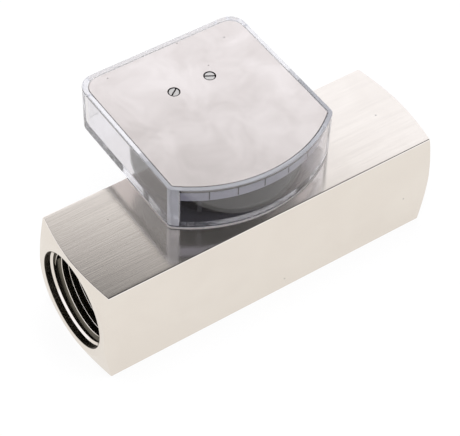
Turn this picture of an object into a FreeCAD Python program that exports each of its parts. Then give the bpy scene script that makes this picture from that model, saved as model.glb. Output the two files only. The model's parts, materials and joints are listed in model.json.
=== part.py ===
"""Variable-area flow meter with a spring-loaded float and a magnetically driven pointer.

A square nickel-plated brass bar carries a float that slides along a fixed rod inside a conical
sleeve. A ring magnet on the float drags a second magnet on a pointer arm, which swings behind the
curved window of the clear indicator box on top of the bar.

Frame: millimetres, +Z up. The origin is the centre of the bar's underside, +X runs along the bar
in the direction of flow, and +Y points to the rear, where the indicator box overhangs the bar.
"""
import FreeCAD, Part
import enum
import math
import os

import Sketcher

OUTPUT_FOLDER = "parts"


class Spot(enum.IntEnum):
    """Which point of a line or arc a sketch constraint holds."""

    START = 1
    END = 2
    CENTRE = 3


class AxisLine(enum.IntEnum):
    """A sketch's own two axes, as its constraints number them."""

    HORIZONTAL = -1
    VERTICAL = -2


ORIGIN_POINT = (AxisLine.HORIZONTAL, Spot.START)

# name, value, what it is. Lengths are in millimetres and angles in degrees.
DRIVING_DIMENSIONS = [
    ("bar_width", 40.0, "square bar, across its flats"),
    ("bar_length", 130.0, "square bar, end to end"),
    ("bar_edge_break", 0.35, "bevel along the bar's four long edges"),
    ("end_face_radius", 19.9, "flat round end face left by the turned end"),
    ("end_turn_angle", 15.0, "slope of the turned end, from the end plane"),
    ("thread_major_radius", 16.62, "G 1 thread, major radius"),
    ("mouth_radius", 17.15, "countersunk mouth of each port"),
    ("port_depth", 19.0, "depth of each threaded port"),
    ("flow_bore_radius", 13.0, "bore between the ports"),
    ("snap_groove_depth", 0.9, "depth of the two snap ring grooves"),
    ("snap_ring_width", 1.2, "width of a snap ring"),
    ("snap_ring_inner_radius", 11.4, "inner radius of a snap ring"),
    ("snap_ring_gap", 5.0, "open gap of a snap ring"),
    ("ring_play", 0.1, "free play of a snap ring in its groove"),
    ("fit_gap", 0.05, "radial clearance of pieces that fit together"),
    ("spider_thickness", 4.0, "length of a rod spider along the bore"),
    ("spider_rim", 1.6, "rim of a rod spider"),
    ("spider_hub_radius", 4.5, "hub of a rod spider"),
    ("spider_spoke_width", 2.2, "spoke of a rod spider"),
    ("sleeve_throat_radius", 9.1, "narrow end of the metering cone"),
    ("sleeve_wide_radius", 11.4, "wide end of the metering cone"),
    ("sleeve_entry_radius", 10.6, "rounded-off entry of the metering sleeve"),
    ("sleeve_entry_length", 4.0, "length of the entry taper"),
    ("seal_width", 2.4, "width of a seal groove on the sleeve"),
    ("seal_wire", 0.65, "radius of an O-ring's section"),
    ("seal_inset", 5.0, "sleeve end to the middle of its seal groove"),
    ("seal_groove_depth", 1.3, "depth of a seal groove"),
    ("rod_radius", 2.0, "fixed guide rod"),
    ("rod_nut_flats", 7.0, "guide rod nut, across flats"),
    ("rod_nut_height", 3.2, "guide rod nut, height"),
    ("rod_end_proud", 0.5, "guide rod beyond its nut"),
    ("rod_end_bevel", 0.4, "bevel at the ends of the guide rod"),
    ("float_head_radius", 8.8, "metering edge of the float"),
    ("float_head_width", 2.0, "width of the float's metering land"),
    ("float_nose_radius", 4.4, "front face of the float"),
    ("float_nose_length", 5.0, "float front face to its metering edge"),
    ("float_body_radius", 5.0, "float tube behind the head"),
    ("float_shoulder_radius", 7.0, "collar in front of the float magnet"),
    ("float_shoulder_width", 2.0, "width of that collar"),
    ("float_neck_length", 1.6, "float tube between the head's slope and the collar"),
    ("float_tail_length", 3.2, "float tube behind the magnet"),
    ("float_rod_play", 0.6, "float tube around the rod, between its bushes"),
    ("bush_wall", 1.0, "wall of a float bush"),
    ("bush_length", 5.0, "length of a float bush"),
    ("magnet_outer_radius", 8.0, "ring magnet on the float"),
    ("magnet_length", 10.0, "ring magnet on the float, along the bore"),
    ("magnet_nut_radius", 6.5, "nut behind the ring magnet, from its axis to a flat"),
    ("magnet_nut_width", 2.6, "width of that nut"),
    ("end_play", 0.3, "gap between the float and each of its stops"),
    ("buffer_length", 3.5, "soft ring that the float rests against"),
    ("buffer_wall", 2.0, "wall of the soft ring"),
    ("stop_wall", 1.0, "wall of the sleeve that stops the float at full flow"),
    ("spring_wire_radius", 0.4, "return spring wire"),
    ("spring_mean_radius", 4.35, "return spring, centre of wire"),
    ("spring_turns", 13.0, "turns of the return spring"),
    ("box_height", 18.0, "indicator box"),
    ("box_half_width", 31.6, "indicator box at its open top"),
    ("box_rear", 51.0, "rear of the indicator box, from the bar's middle"),
    ("box_arc_radius", 48.4, "curved window of the indicator box"),
    ("arc_centre", 31.2, "centre of the window's curve, from the bar's middle"),
    ("box_wall", 2.0, "front wall of the indicator box"),
    ("box_side_wall", 3.75, "side walls of the indicator box"),
    ("box_rear_wall", 2.6, "rear wall of the indicator box"),
    ("box_floor", 2.0, "floor of the indicator box"),
    ("box_draft", 0.5, "mould draft of the box's walls"),
    ("box_rear_corner", 5.8, "rear corners of the indicator box"),
    ("box_front_corner", 2.4, "front corners of the indicator box"),
    ("box_inner_front_corner", 1.2, "front corners inside the indicator box"),
    ("cover_thickness", 2.0, "metal cover plate"),
    ("cover_rim", 1.45, "clear rim left beside and in front of the cover plate"),
    ("cover_rear_rim", 1.9, "clear rim left behind the cover plate"),
    ("cover_gap", 0.1, "gap all round the cover plate"),
    ("cover_rear_corner", 5.4, "rear corners of the cover plate"),
    ("cover_front_corner", 1.6, "front corners of the cover plate"),
    ("cover_edge_break", 0.25, "bevel round the cover plate's top"),
    ("pivot_offset", 29.6, "pointer axle, from the bar's middle"),
    ("screw_spacing", 14.0, "between the two cover screws"),
    ("screw_head_radius", 1.8, "cover screw head"),
    ("screw_head_height", 1.3, "cover screw head"),
    ("screw_recess_radius", 2.15, "recess round a cover screw head"),
    ("screw_recess_depth", 1.4, "recess for a cover screw head"),
    ("screw_shank_radius", 1.2, "cover screw shank"),
    ("screw_shank_length", 7.0, "cover screw shank"),
    ("screw_slot_width", 0.55, "driver slot"),
    ("screw_slot_depth", 0.6, "driver slot"),
    ("left_slot_angle", 34.0, "direction of the left screw's slot"),
    ("right_slot_angle", -30.0, "direction of the right screw's slot"),
    ("base_radius", 27.0, "round mechanism plate"),
    ("base_front_gap", 1.1, "mechanism plate to the window's inner face at its top"),
    ("base_thickness", 2.0, "mechanism plate"),
    ("base_screw_half_spacing", 17.0, "mechanism plate screws, across the bar's length"),
    ("base_screw_inset", 5.5, "rear pair of those screws, from the bar's rear face"),
    ("base_screw_row_spacing", 10.5, "between the rear pair and the front pair"),
    ("base_screw_radius", 1.5, "mechanism plate screw shank"),
    ("base_screw_head_radius", 2.75, "mechanism plate screw head"),
    ("base_screw_length", 8.5, "mechanism plate screw, overall"),
    ("base_hole_spare", 0.6, "tapped hole below the end of its screw"),
    ("hex_key_flats", 2.0, "hexagon socket of those screws"),
    ("hex_key_depth", 0.9, "hexagon socket of those screws"),
    ("post_radius", 3.0, "posts under the cover screws"),
    ("post_spigot_radius", 1.2, "turned-down foot of a post"),
    ("post_spigot_length", 1.8, "turned-down foot of a post"),
    ("post_hole_depth", 6.0, "tapped hole in the top of a post"),
    ("bridge_thickness", 1.2, "bearing bridge on the posts"),
    ("bridge_half_width", 4.0, "bearing bridge"),
    ("bridge_end_margin", 4.0, "bearing bridge beyond each post's axis"),
    ("bearing_radius", 2.0, "pointer bearings"),
    ("bearing_flange_radius", 2.8, "flange of the pointer bearings"),
    ("bearing_flange_height", 0.6, "flange of the pointer bearings"),
    ("pivot_radius", 0.6, "axle journals in the bearings"),
    ("axle_radius", 1.0, "axle between its journals"),
    ("axle_end_play", 0.15, "axial play of the axle at each bearing"),
    ("hub_radius", 3.0, "hub of the pointer arm"),
    ("hub_height", 3.0, "hub of the pointer arm"),
    ("hub_boss_radius", 2.0, "turned-down top of the hub, through the arm"),
    ("hub_boss_proud", 0.6, "hub above the arm"),
    ("arm_thickness", 0.8, "pointer arm"),
    ("arm_level", 6.2, "underside of the arm, above the mechanism plate"),
    ("arm_root_half_width", 2.6, "pointer arm at its hub"),
    ("arm_tip_half_width", 1.1, "pointer arm at its tip"),
    ("arm_seat_radius", 5.2, "round seat of the follower magnet in the arm"),
    ("arm_tail_length", 11.0, "arm behind the axle"),
    ("tip_front_gap", 1.4, "pointer at mid-scale to the window's inner face at its top"),
    ("flag_height", 6.0, "upright pointer tip"),
    ("flag_half_width", 0.6, "upright pointer tip"),
    ("flag_thickness", 0.8, "upright pointer tip"),
    ("follower_radius", 4.5, "follower magnet"),
    ("follower_height", 4.5, "follower magnet"),
    ("weight_radius", 3.2, "counterweight"),
    ("weight_height", 4.0, "counterweight"),
    ("swing_half_angle", 30.0, "pointer swing, from its middle to either end"),
    ("strip_height", 4.6, "scale strip"),
    ("strip_thickness", 0.8, "scale strip"),
    ("strip_gap", 0.65, "scale strip to the window behind which it stands"),
    ("strip_cover_gap", 0.1, "scale strip to the cover above it"),
    ("strip_side_gap", 0.35, "end of the scale strip to the box's side wall at its top"),
    ("tick_first", -25.5, "first scale line"),
    ("tick_step", 11.45, "between scale lines"),
    ("tick_height", 4.1, "scale line"),
    ("tick_width", 0.4, "scale line"),
    ("tick_relief", 0.15, "scale line above the strip's face"),
    ("journal_reach", 1.0, "axle journal inside its upper bearing"),
    ("journal_floor_gap", 0.2, "axle end above the floor of the box"),
]
DIMENSION_NAMES = {name for name, _, _ in DRIVING_DIMENSIONS}
TICK_COUNT = 5
SPOKE_COUNT = 3
HEXAGON_ANGLES = [60 * corner for corner in range(6)]
LEVEL_TOLERANCE = 0.01
FULL_TURN = 360

document = FreeCAD.newDocument("flow_meter")
sheet = document.addObject("Spreadsheet::Sheet", "dims")
nodes = []


def fill_sheet():
    """Writes the driving dimensions into the sheet: name, value and meaning in one row each."""
    for row, (name, value, meaning) in enumerate(DRIVING_DIMENSIONS, start=1):
        sheet.set(f"A{row}", name)
        sheet.set(f"B{row}", str(value))
        sheet.set(f"C{row}", meaning)
        sheet.setAlias(f"B{row}", name)
    document.recompute()


def names_to_cells(expression):
    """The expression with every driving dimension's name pointing into the sheet."""
    words = []
    word = ""
    for letter in str(expression) + " ":
        if letter.isalnum() or letter in "_.":
            word += letter
            continue
        words.append(f"dims.{word}" if word in DIMENSION_NAMES else word)
        words.append(letter)
        word = ""
    return "".join(words).strip()


def bind(target, prop, expression):
    """Binds one property of an object to the sheet."""
    target.setExpression(prop, names_to_cells(expression))


def worth(expression):
    """The number that an expression gives now, as a first guess for the sketch solver."""
    value = sheet.evalExpression(names_to_cells(expression))
    return float(getattr(value, "Value", value))


def new_body(label, place=("0", "0", "0"), turn="0"):
    """An empty body whose placement is bound to the sheet: a shift, then a turn about its own Z."""
    body = document.addObject("PartDesign::Body", label)
    body.Label = label
    for axis, expression in zip("xyz", place):
        bind(body, f"Placement.Base.{axis}", expression)
    body.Placement.Rotation = FreeCAD.Rotation(FreeCAD.Vector(0, 0, 1), worth(turn))
    if turn != "0":
        bind(body, "Placement.Rotation.Angle", turn)
    nodes.append(body)
    return body


def sketch_on(body, plane, level="0"):
    """A sketch on one of the body's own origin planes, raised along that plane's normal."""
    sketch = body.newObject("Sketcher::SketchObject", body.Name + "_sketch")
    support = next(f for f in body.Origin.OriginFeatures if f.Role == plane)
    sketch.AttachmentSupport = [(support, "")]
    sketch.MapMode = "FlatFace"
    bind(sketch, "AttachmentOffset.Base.z", level)
    return sketch


def bind_constraint(sketch, kind, references, expression):
    """Adds one dimension to a sketch and binds it to the sheet."""
    index = sketch.addConstraint(Sketcher.Constraint(kind, *references, worth(expression)))
    sketch.setExpression(f"Constraints[{index}]", names_to_cells(expression))


def pin_point(sketch, geometry, point, x, y):
    """Fixes a point of a sketch at two expressions, or on an axis where one of them is zero."""
    ways = (("DistanceX", AxisLine.VERTICAL, x), ("DistanceY", AxisLine.HORIZONTAL, y))
    for kind, axis_line, expression in ways:
        if expression == "0":
            sketch.addConstraint(Sketcher.Constraint("PointOnObject", geometry, point, axis_line))
        elif expression is not None:
            bind_constraint(sketch, kind, (*ORIGIN_POINT, geometry, point), expression)


def draw_polygon(sketch, corners):
    """Draws a closed straight-sided outline through corners given as pairs of expressions."""
    points = [FreeCAD.Vector(worth(x), worth(y), 0) for x, y in corners]
    first = sketch.GeometryCount
    count = len(points)
    for i in range(count):
        sketch.addGeometry(Part.LineSegment(points[i], points[(i + 1) % count]))
    for i in range(count):
        following = first + (i + 1) % count
        sketch.addConstraint(Sketcher.Constraint("Coincident", first + i, Spot.END, following, Spot.START))
    for i, (x, y) in enumerate(corners):
        pin_point(sketch, first + i, Spot.START, x, y)


def draw_bar(sketch, half_width, low, high):
    """Draws a rectangle that is centred on the sketch's V axis and runs from low to high."""
    left = f"-({half_width})"
    draw_polygon(sketch, [(left, low), (half_width, low), (half_width, high), (left, high)])


def draw_circle(sketch, radius, x="0", y="0"):
    """Draws a circle whose centre and radius are expressions."""
    centre = FreeCAD.Vector(worth(x), worth(y), 0)
    circle = Part.Circle(centre, FreeCAD.Vector(0, 0, 1), worth(radius))
    index = sketch.addGeometry(circle)
    pin_point(sketch, index, Spot.CENTRE, x, y)
    bind_constraint(sketch, "Radius", (index,), radius)


def draw_arc(sketch, radius, centre_y, first_x, last_x, front=True):
    """Draws an arc about a point of the sketch's V axis, between two X values, and gives its index."""
    side = -1 if front else 1
    size, middle = worth(radius), worth(centre_y)

    def angle_at(x):
        return math.atan2(side * math.sqrt(size**2 - worth(x) ** 2), worth(x))

    first, last = angle_at(first_x), angle_at(last_x)
    circle = Part.Circle(FreeCAD.Vector(0, middle, 0), FreeCAD.Vector(0, 0, 1), size)
    index = sketch.addGeometry(Part.ArcOfCircle(circle, first, last))
    pin_point(sketch, index, Spot.CENTRE, "0", centre_y)
    bind_constraint(sketch, "Radius", (index,), radius)
    pin_point(sketch, index, Spot.START, first_x, None)
    pin_point(sketch, index, Spot.END, last_x, None)
    return index


def draw_sector(sketch, inner, outer, half_angle):
    """Draws a ring sector about the sketch's origin, symmetrical about its -V direction."""
    arcs = []
    for radius in (inner, outer):
        reach = f"{radius} * sin({half_angle})"
        arcs.append(draw_arc(sketch, radius, "0", f"-({reach})", reach))
    inner_arc, outer_arc = arcs
    for point in (Spot.START, Spot.END):
        ends = [sketch.getPoint(arc, point) for arc in (inner_arc, outer_arc)]
        side = sketch.addGeometry(Part.LineSegment(*ends))
        sketch.addConstraint(Sketcher.Constraint("Coincident", side, Spot.START, inner_arc, point))
        sketch.addConstraint(Sketcher.Constraint("Coincident", side, Spot.END, outer_arc, point))


def draw_window_outline(sketch, half_width, rear, arc_radius, rear_corner, front_corner):
    """Draws the box's outline: straight sides and rear, curved front, and four round corners."""
    size, middle = worth(arc_radius), worth("arc_centre")
    side, back = worth(half_width), worth(rear)
    big, small = worth(rear_corner), worth(front_corner)
    # A front corner touches the side and, from inside, the front curve.
    small_x = side - small
    small_y = middle - math.sqrt((size - small) ** 2 - small_x**2)
    lean = math.atan2(small_y - middle, small_x)
    quarter = math.pi / 2

    def arc(x, y, radius, start, end):
        circle = Part.Circle(FreeCAD.Vector(x, y, 0), FreeCAD.Vector(0, 0, 1), radius)
        return sketch.addGeometry(Part.ArcOfCircle(circle, start, end))

    def line(x1, y1, x2, y2):
        return sketch.addGeometry(Part.LineSegment(FreeCAD.Vector(x1, y1, 0), FreeCAD.Vector(x2, y2, 0)))

    front = arc(0, middle, size, -math.pi - lean, lean)
    right_front = arc(small_x, small_y, small, lean, 0)
    right = line(side, small_y, side, back - big)
    right_rear = arc(side - big, back - big, big, 0, quarter)
    top = line(side - big, back, big - side, back)
    left_rear = arc(big - side, back - big, big, quarter, 2 * quarter)
    left = line(-side, back - big, -side, small_y)
    left_front = arc(-small_x, small_y, small, 2 * quarter, 2 * quarter - lean)

    run = [front, right_front, right, right_rear, top, left_rear, left, left_front]
    for one, following in zip(run, run[1:] + run[:1]):
        sketch.addConstraint(Sketcher.Constraint("Tangent", one, Spot.END, following, Spot.START))
    sketch.addConstraint(Sketcher.Constraint("Vertical", right))
    sketch.addConstraint(Sketcher.Constraint("Vertical", left))
    sketch.addConstraint(Sketcher.Constraint("Horizontal", top))
    pin_point(sketch, front, Spot.CENTRE, "0", "arc_centre")
    pin_point(sketch, right, Spot.START, half_width, None)
    pin_point(sketch, left, Spot.START, f"-({half_width})", None)
    pin_point(sketch, top, Spot.START, None, rear)
    radii = [(front, arc_radius)]
    radii += [(corner, front_corner) for corner in (right_front, left_front)]
    radii += [(corner, rear_corner) for corner in (right_rear, left_rear)]
    for geometry, radius in radii:
        bind_constraint(sketch, "Radius", (geometry,), radius)


def pad(body, sketch, length, taper=None, downward=False):
    """Raises a sketch by a length, or lowers it, with an optional slope of its sides."""
    feature = body.newObject("PartDesign::Pad", body.Name + "_pad")
    feature.Profile = sketch
    feature.Reversed = downward
    bind(feature, "Length", length)
    if taper:
        bind(feature, "TaperAngle", taper)
    document.recompute()
    return feature


def pocket(body, sketch, depth, taper=None):
    """Cuts a sketch down from its own plane."""
    feature = body.newObject("PartDesign::Pocket", body.Name + "_pocket")
    feature.Profile = sketch
    bind(feature, "Length", depth)
    if taper:
        bind(feature, "TaperAngle", taper)
    document.recompute()
    return feature


def turn(body, corners, axis="H_Axis", cut=False):
    """Turns a half-section about the X or Z axis of the body, as added or as removed material."""
    sketch = sketch_on(body, "XZ_Plane")
    draw_polygon(sketch, corners)
    kind = "Groove" if cut else "Revolution"
    feature = body.newObject("PartDesign::" + kind, body.Name + "_" + kind.lower())
    feature.Profile = sketch
    feature.ReferenceAxis = (sketch, [axis])
    feature.Angle = FULL_TURN
    document.recompute()
    return feature


def repeat_around(body, feature, axis_role, count, angle=str(FULL_TURN)):
    """Repeats a feature of a body about one of its origin axes."""
    pattern = body.newObject("PartDesign::PolarPattern", body.Name + "_pattern")
    pattern.Originals = [feature]
    axis = next(f for f in body.Origin.OriginFeatures if f.Role == axis_role)
    pattern.Axis = (axis, [""])
    pattern.Occurrences = count
    bind(pattern, "Angle", angle)
    body.Tip = pattern
    document.recompute()
    return pattern


def round_edges(body, kind, size, wanted):
    """Fillets or chamfers the tip's edges that a test picks out."""
    tip = body.Tip
    names = [f"Edge{i}" for i, edge in enumerate(tip.Shape.Edges, start=1) if wanted(edge)]
    feature = body.newObject("PartDesign::" + kind, body.Name + "_" + kind.lower())
    feature.Base = (tip, names)
    bind(feature, "Radius" if kind == "Fillet" else "Size", size)
    document.recompute()
    return feature


def is_upright(edge):
    """True for an edge that rises more than it runs."""
    ends = [vertex.Point for vertex in edge.Vertexes]
    if len(ends) != 2:
        return False
    rise = ends[1] - ends[0]
    return abs(rise.z) > math.hypot(rise.x, rise.y)


def turned_piece(label, corners, axis="H_Axis", place=("0", "0", "bar_width / 2"), turned="0"):
    """A piece made by turning one half-section."""
    body = new_body(label, place, turned)
    turn(body, corners, axis)
    return body


def tube_corners(start, length, inner, outer):
    """The half-section of a plain tube or ring."""
    end = f"{start} + {length}"
    return [(start, inner), (end, inner), (end, outer), (start, outer)]


# Radii round the bore's axis.
FLOAT_BORE = "(rod_radius + float_rod_play)"
BUSH_BORE = "(rod_radius + fit_gap)"
BUSH_SEAT = f"({BUSH_BORE} + bush_wall)"

# Places along the bore, measured from the bar's middle.
STROKE = "(2 * pivot_offset * sin(swing_half_angle))"
MAGNET_START = f"(-{STROKE} / 2 - magnet_length / 2)"
SHOULDER_START = f"({MAGNET_START} - float_shoulder_width)"
SLOPE_END = f"({SHOULDER_START} - float_neck_length)"
SLOPE_START = f"({SLOPE_END} - float_head_radius + float_body_radius)"
HEAD_EDGE = f"({SLOPE_START} - float_head_width)"
FLOAT_START = f"({HEAD_EDGE} - float_nose_length)"
SLEEVE_HALF = f"(buffer_length + end_play - {FLOAT_START})"
RING_FACE = f"({SLEEVE_HALF} + spider_thickness)"
NUT_START = f"({MAGNET_START} + magnet_length)"
FLOAT_END = f"({NUT_START} + float_tail_length)"
STOP_START = f"({FLOAT_END} + {STROKE} + end_play)"

# Places in the indicator box, from the bar's middle to the rear, and the pointer's reach.
WINDOW_RADIUS = "(box_arc_radius - box_wall)"
WINDOW_FRONT = f"(arc_centre - {WINDOW_RADIUS})"
BASE_CENTRE = f"({WINDOW_FRONT} + base_front_gap + base_radius)"
TIP_RADIUS = f"(pivot_offset - {WINDOW_FRONT} - tip_front_gap)"

# Levels above the bar's underside.
BOX_LEVEL = "bar_width"
BASE_LEVEL = "(bar_width + box_floor)"
DECK_LEVEL = "(bar_width + box_floor + base_thickness)"
COVER_LEVEL = "(bar_width + box_height - cover_thickness)"
BRIDGE_LEVEL = f"({COVER_LEVEL} - bridge_thickness)"
ARM_LEVEL = f"({DECK_LEVEL} + arm_level)"


def make_bar():
    """The square bar: long edges broken, ends turned, ports and bore, snap grooves, tapped holes."""
    body = new_body("meter_body", ("0", "0", "bar_width / 2"))
    section = sketch_on(body, "YZ_Plane", "-bar_length / 2")
    half = "bar_width / 2"
    draw_bar(section, half, f"-{half}", half)
    pad(body, section, "bar_length")

    def runs_along_bar(edge):
        ends = [vertex.Point for vertex in edge.Vertexes]
        return abs(ends[0].x - ends[1].x) > worth("bar_length") / 2

    round_edges(body, "Chamfer", "bar_edge_break", runs_along_bar)
    turn(body, tube_corners("-bar_length / 2", "bar_length", "0", "flow_bore_radius"), cut=True)

    end = "bar_length / 2"
    beyond = "bar_width"
    slope = f"({beyond} - end_face_radius) * tan(end_turn_angle)"
    cone = [(end, "end_face_radius"), (end, beyond), (f"{end} - {slope}", beyond)]
    port_floor = f"{end} - port_depth"
    thread_start = f"{end} - (mouth_radius - thread_major_radius)"
    port = [
        (port_floor, "0"),
        (end, "0"),
        (end, "mouth_radius"),
        (thread_start, "thread_major_radius"),
        (port_floor, "thread_major_radius"),
    ]
    groove = tube_corners(
        RING_FACE,
        "snap_ring_width + 2 * ring_play",
        "flow_bore_radius / 2",
        "flow_bore_radius + snap_groove_depth",
    )
    both_ends = [turn(body, corners, cut=True) for corners in (cone, port, groove)]
    mirrored = body.newObject("PartDesign::Mirrored", "meter_body_mirrored")
    mirrored.Originals = both_ends
    plane = next(f for f in body.Origin.OriginFeatures if f.Role == "YZ_Plane")
    mirrored.MirrorPlane = (plane, [""])
    body.Tip = mirrored
    document.recompute()

    holes = sketch_on(body, "XY_Plane", "bar_width / 2")
    for x, y in base_screw_places():
        draw_circle(holes, "base_screw_radius + fit_gap", x, y)
    pocket(body, holes, "base_screw_length - base_thickness - box_floor + base_hole_spare")
    return body


def base_screw_places():
    """Where the four screws of the mechanism plate stand, as pairs of expressions."""
    across = "base_screw_half_spacing"
    rear_row = "(bar_width / 2 - base_screw_inset)"
    front_row = f"({rear_row} - base_screw_row_spacing)"
    return [(f"{sign}{across}", row) for row in (front_row, rear_row) for sign in ("-", "")]


def make_sleeve():
    """The metering sleeve: tapered entry, conical bore, plain tail, and two seal grooves outside."""
    outer = "(flow_bore_radius - fit_gap)"
    half = SLEEVE_HALF
    cone_end = f"({SLOPE_START} + {STROKE})"
    section = [
        (f"-{half}", "sleeve_entry_radius"),
        (f"-{half} + sleeve_entry_length", "sleeve_throat_radius"),
        (HEAD_EDGE, "sleeve_throat_radius"),
        (cone_end, "sleeve_wide_radius"),
        (half, "sleeve_wide_radius"),
        (half, outer),
        (f"-{half}", outer),
    ]
    body = turned_piece("metering_sleeve", section)
    groove = tube_corners(
        f"-{half} + seal_inset - seal_width / 2",
        "seal_width",
        f"{outer} - seal_groove_depth",
        f"{outer} + seal_groove_depth",
    )
    turn(body, groove, cut=True)
    return body


def make_seal():
    """The O-ring in the sleeve's groove."""
    body = new_body("sleeve_seal", ("0", "0", "bar_width / 2"))
    sketch = sketch_on(body, "XZ_Plane")
    seat = "(flow_bore_radius - fit_gap - seal_groove_depth)"
    draw_circle(sketch, "seal_wire", f"-{SLEEVE_HALF} + seal_inset", f"{seat} + seal_wire")
    ring = body.newObject("PartDesign::Revolution", "sleeve_seal_turned")
    ring.Profile = sketch
    ring.ReferenceAxis = (sketch, ["H_Axis"])
    ring.Angle = FULL_TURN
    document.recompute()
    return body


def make_spider(label, start):
    """A rod spider: a disc that fits the bore, with sector windows that leave rim, hub and spokes."""
    rim_outside = "(flow_bore_radius - fit_gap)"
    section = tube_corners(start, "spider_thickness", "rod_radius + fit_gap", rim_outside)
    body = turned_piece(label, section)
    window = sketch_on(body, "YZ_Plane", f"{start} + spider_thickness")
    rim_inside = f"({rim_outside} - spider_rim)"
    half_angle = f"(180 deg / {SPOKE_COUNT} - asin(spider_spoke_width / (2 * spider_hub_radius)))"
    draw_sector(window, "spider_hub_radius", rim_inside, half_angle)
    opening = pocket(body, window, "spider_thickness")
    repeat_around(body, opening, "X_Axis", SPOKE_COUNT)
    return body


def make_snap_ring(label, start):
    """A snap ring: a flat ring with an open gap at its lowest point."""
    outside = "(flow_bore_radius + snap_groove_depth - ring_play)"
    body = turned_piece(label, tube_corners(start, "snap_ring_width", "snap_ring_inner_radius", outside))
    gap = sketch_on(body, "YZ_Plane", f"{start} + snap_ring_width")
    half, deep = "snap_ring_gap / 2", "bar_width / 2"
    draw_bar(gap, half, f"-{deep}", "0")
    pocket(body, gap, "snap_ring_width")
    return body


def make_guide_rod():
    """The fixed rod that the float slides on, with bevelled ends."""
    end = f"({RING_FACE} + rod_nut_height + rod_end_proud)"
    section = [
        (f"-{end}", "0"),
        (end, "0"),
        (end, "rod_radius - rod_end_bevel"),
        (f"{end} - rod_end_bevel", "rod_radius"),
        (f"-{end} + rod_end_bevel", "rod_radius"),
        (f"-{end}", "rod_radius - rod_end_bevel"),
    ]
    return turned_piece("guide_rod", section)


def make_hex_nut(label, start, height, flat_radius, bore):
    """A hexagon nut on the bore's axis: flat_radius is from the axis to a flat."""
    body = new_body(label, ("0", "0", "bar_width / 2"))
    section = sketch_on(body, "YZ_Plane", start)
    corner = f"({flat_radius} / cos(30))"
    draw_polygon(section, [(f"{corner} * cos({a})", f"{corner} * sin({a})") for a in HEXAGON_ANGLES])
    draw_circle(section, bore)
    pad(body, section, height)
    end = f"{start} + {height}"
    drop = f"({corner} - {flat_radius}) * tan(30)"
    beyond = f"(2 * {corner} - {flat_radius})"
    turn(body, [(end, flat_radius), (end, beyond), (f"{end} - 2 * {drop}", beyond)], cut=True)
    return body


def make_float():
    """The float: nose cone, metering land, tube, collar for the magnet, and a bore for two bushes."""
    front_seat_end = f"({FLOAT_START} + bush_length)"
    rear_seat_start = f"({FLOAT_END} - bush_length)"
    section = [
        (FLOAT_START, BUSH_SEAT),
        (FLOAT_START, "float_nose_radius"),
        (HEAD_EDGE, "float_head_radius"),
        (SLOPE_START, "float_head_radius"),
        (SLOPE_END, "float_body_radius"),
        (SHOULDER_START, "float_body_radius"),
        (SHOULDER_START, "float_shoulder_radius"),
        (MAGNET_START, "float_shoulder_radius"),
        (MAGNET_START, "float_body_radius"),
        (FLOAT_END, "float_body_radius"),
        (FLOAT_END, BUSH_SEAT),
        (rear_seat_start, BUSH_SEAT),
        (rear_seat_start, FLOAT_BORE),
        (front_seat_end, FLOAT_BORE),
        (front_seat_end, BUSH_SEAT),
    ]
    return turned_piece("float_core", section)


def make_float_fittings():
    """What rides on the float: ring magnet, its nut, and the two bushes that run on the rod."""
    on_tube = "float_body_radius + fit_gap"
    magnet = tube_corners(MAGNET_START, "magnet_length", on_tube, "magnet_outer_radius")
    turned_piece("float_magnet", magnet)
    make_hex_nut("magnet_nut", NUT_START, "magnet_nut_width", "magnet_nut_radius", on_tube)
    bush_starts = {"front_bush": FLOAT_START, "rear_bush": f"({FLOAT_END} - bush_length)"}
    for label, start in bush_starts.items():
        turned_piece(label, tube_corners(start, "bush_length", BUSH_BORE, BUSH_SEAT))


def make_float_stops():
    """The soft ring that the float rests against, and the sleeve that stops it at full flow."""
    buffer_outside = f"({BUSH_BORE} + buffer_wall)"
    buffer = tube_corners(f"-{SLEEVE_HALF}", "buffer_length", BUSH_BORE, buffer_outside)
    turned_piece("rest_buffer", buffer)
    length = f"{SLEEVE_HALF} - {STOP_START}"
    turned_piece("stop_sleeve", tube_corners(STOP_START, length, BUSH_BORE, f"{BUSH_BORE} + stop_wall"))


def make_spring():
    """The return spring: a round wire swept along a helix between the float and the outlet spider."""
    helix = document.addObject("Part::Helix", "spring_path")
    free = f"({SLEEVE_HALF} - {FLOAT_END} - 2 * spring_wire_radius - 2 * fit_gap)"
    bind(helix, "Height", free)
    bind(helix, "Pitch", f"{free} / spring_turns")
    bind(helix, "Radius", "spring_mean_radius")
    wire = document.addObject("Part::Circle", "spring_section")
    bind(wire, "Radius", "spring_wire_radius")
    wire.Placement.Rotation = FreeCAD.Rotation(FreeCAD.Vector(1, 0, 0), 90)
    bind(wire, "Placement.Base.x", "spring_mean_radius")
    document.recompute()
    spring = document.addObject("Part::Sweep", "return_spring")
    spring.Label = "return_spring"
    spring.Sections = [wire]
    spring.Spine = (helix, ["Edge1"])
    spring.Solid = True
    spring.Frenet = True
    spring.Placement.Rotation = FreeCAD.Rotation(FreeCAD.Vector(0, 1, 0), 90)
    bind(spring, "Placement.Base.x", f"{FLOAT_END} + spring_wire_radius + fit_gap")
    bind(spring, "Placement.Base.z", "bar_width / 2")
    nodes.append(spring)
    document.recompute()


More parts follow.
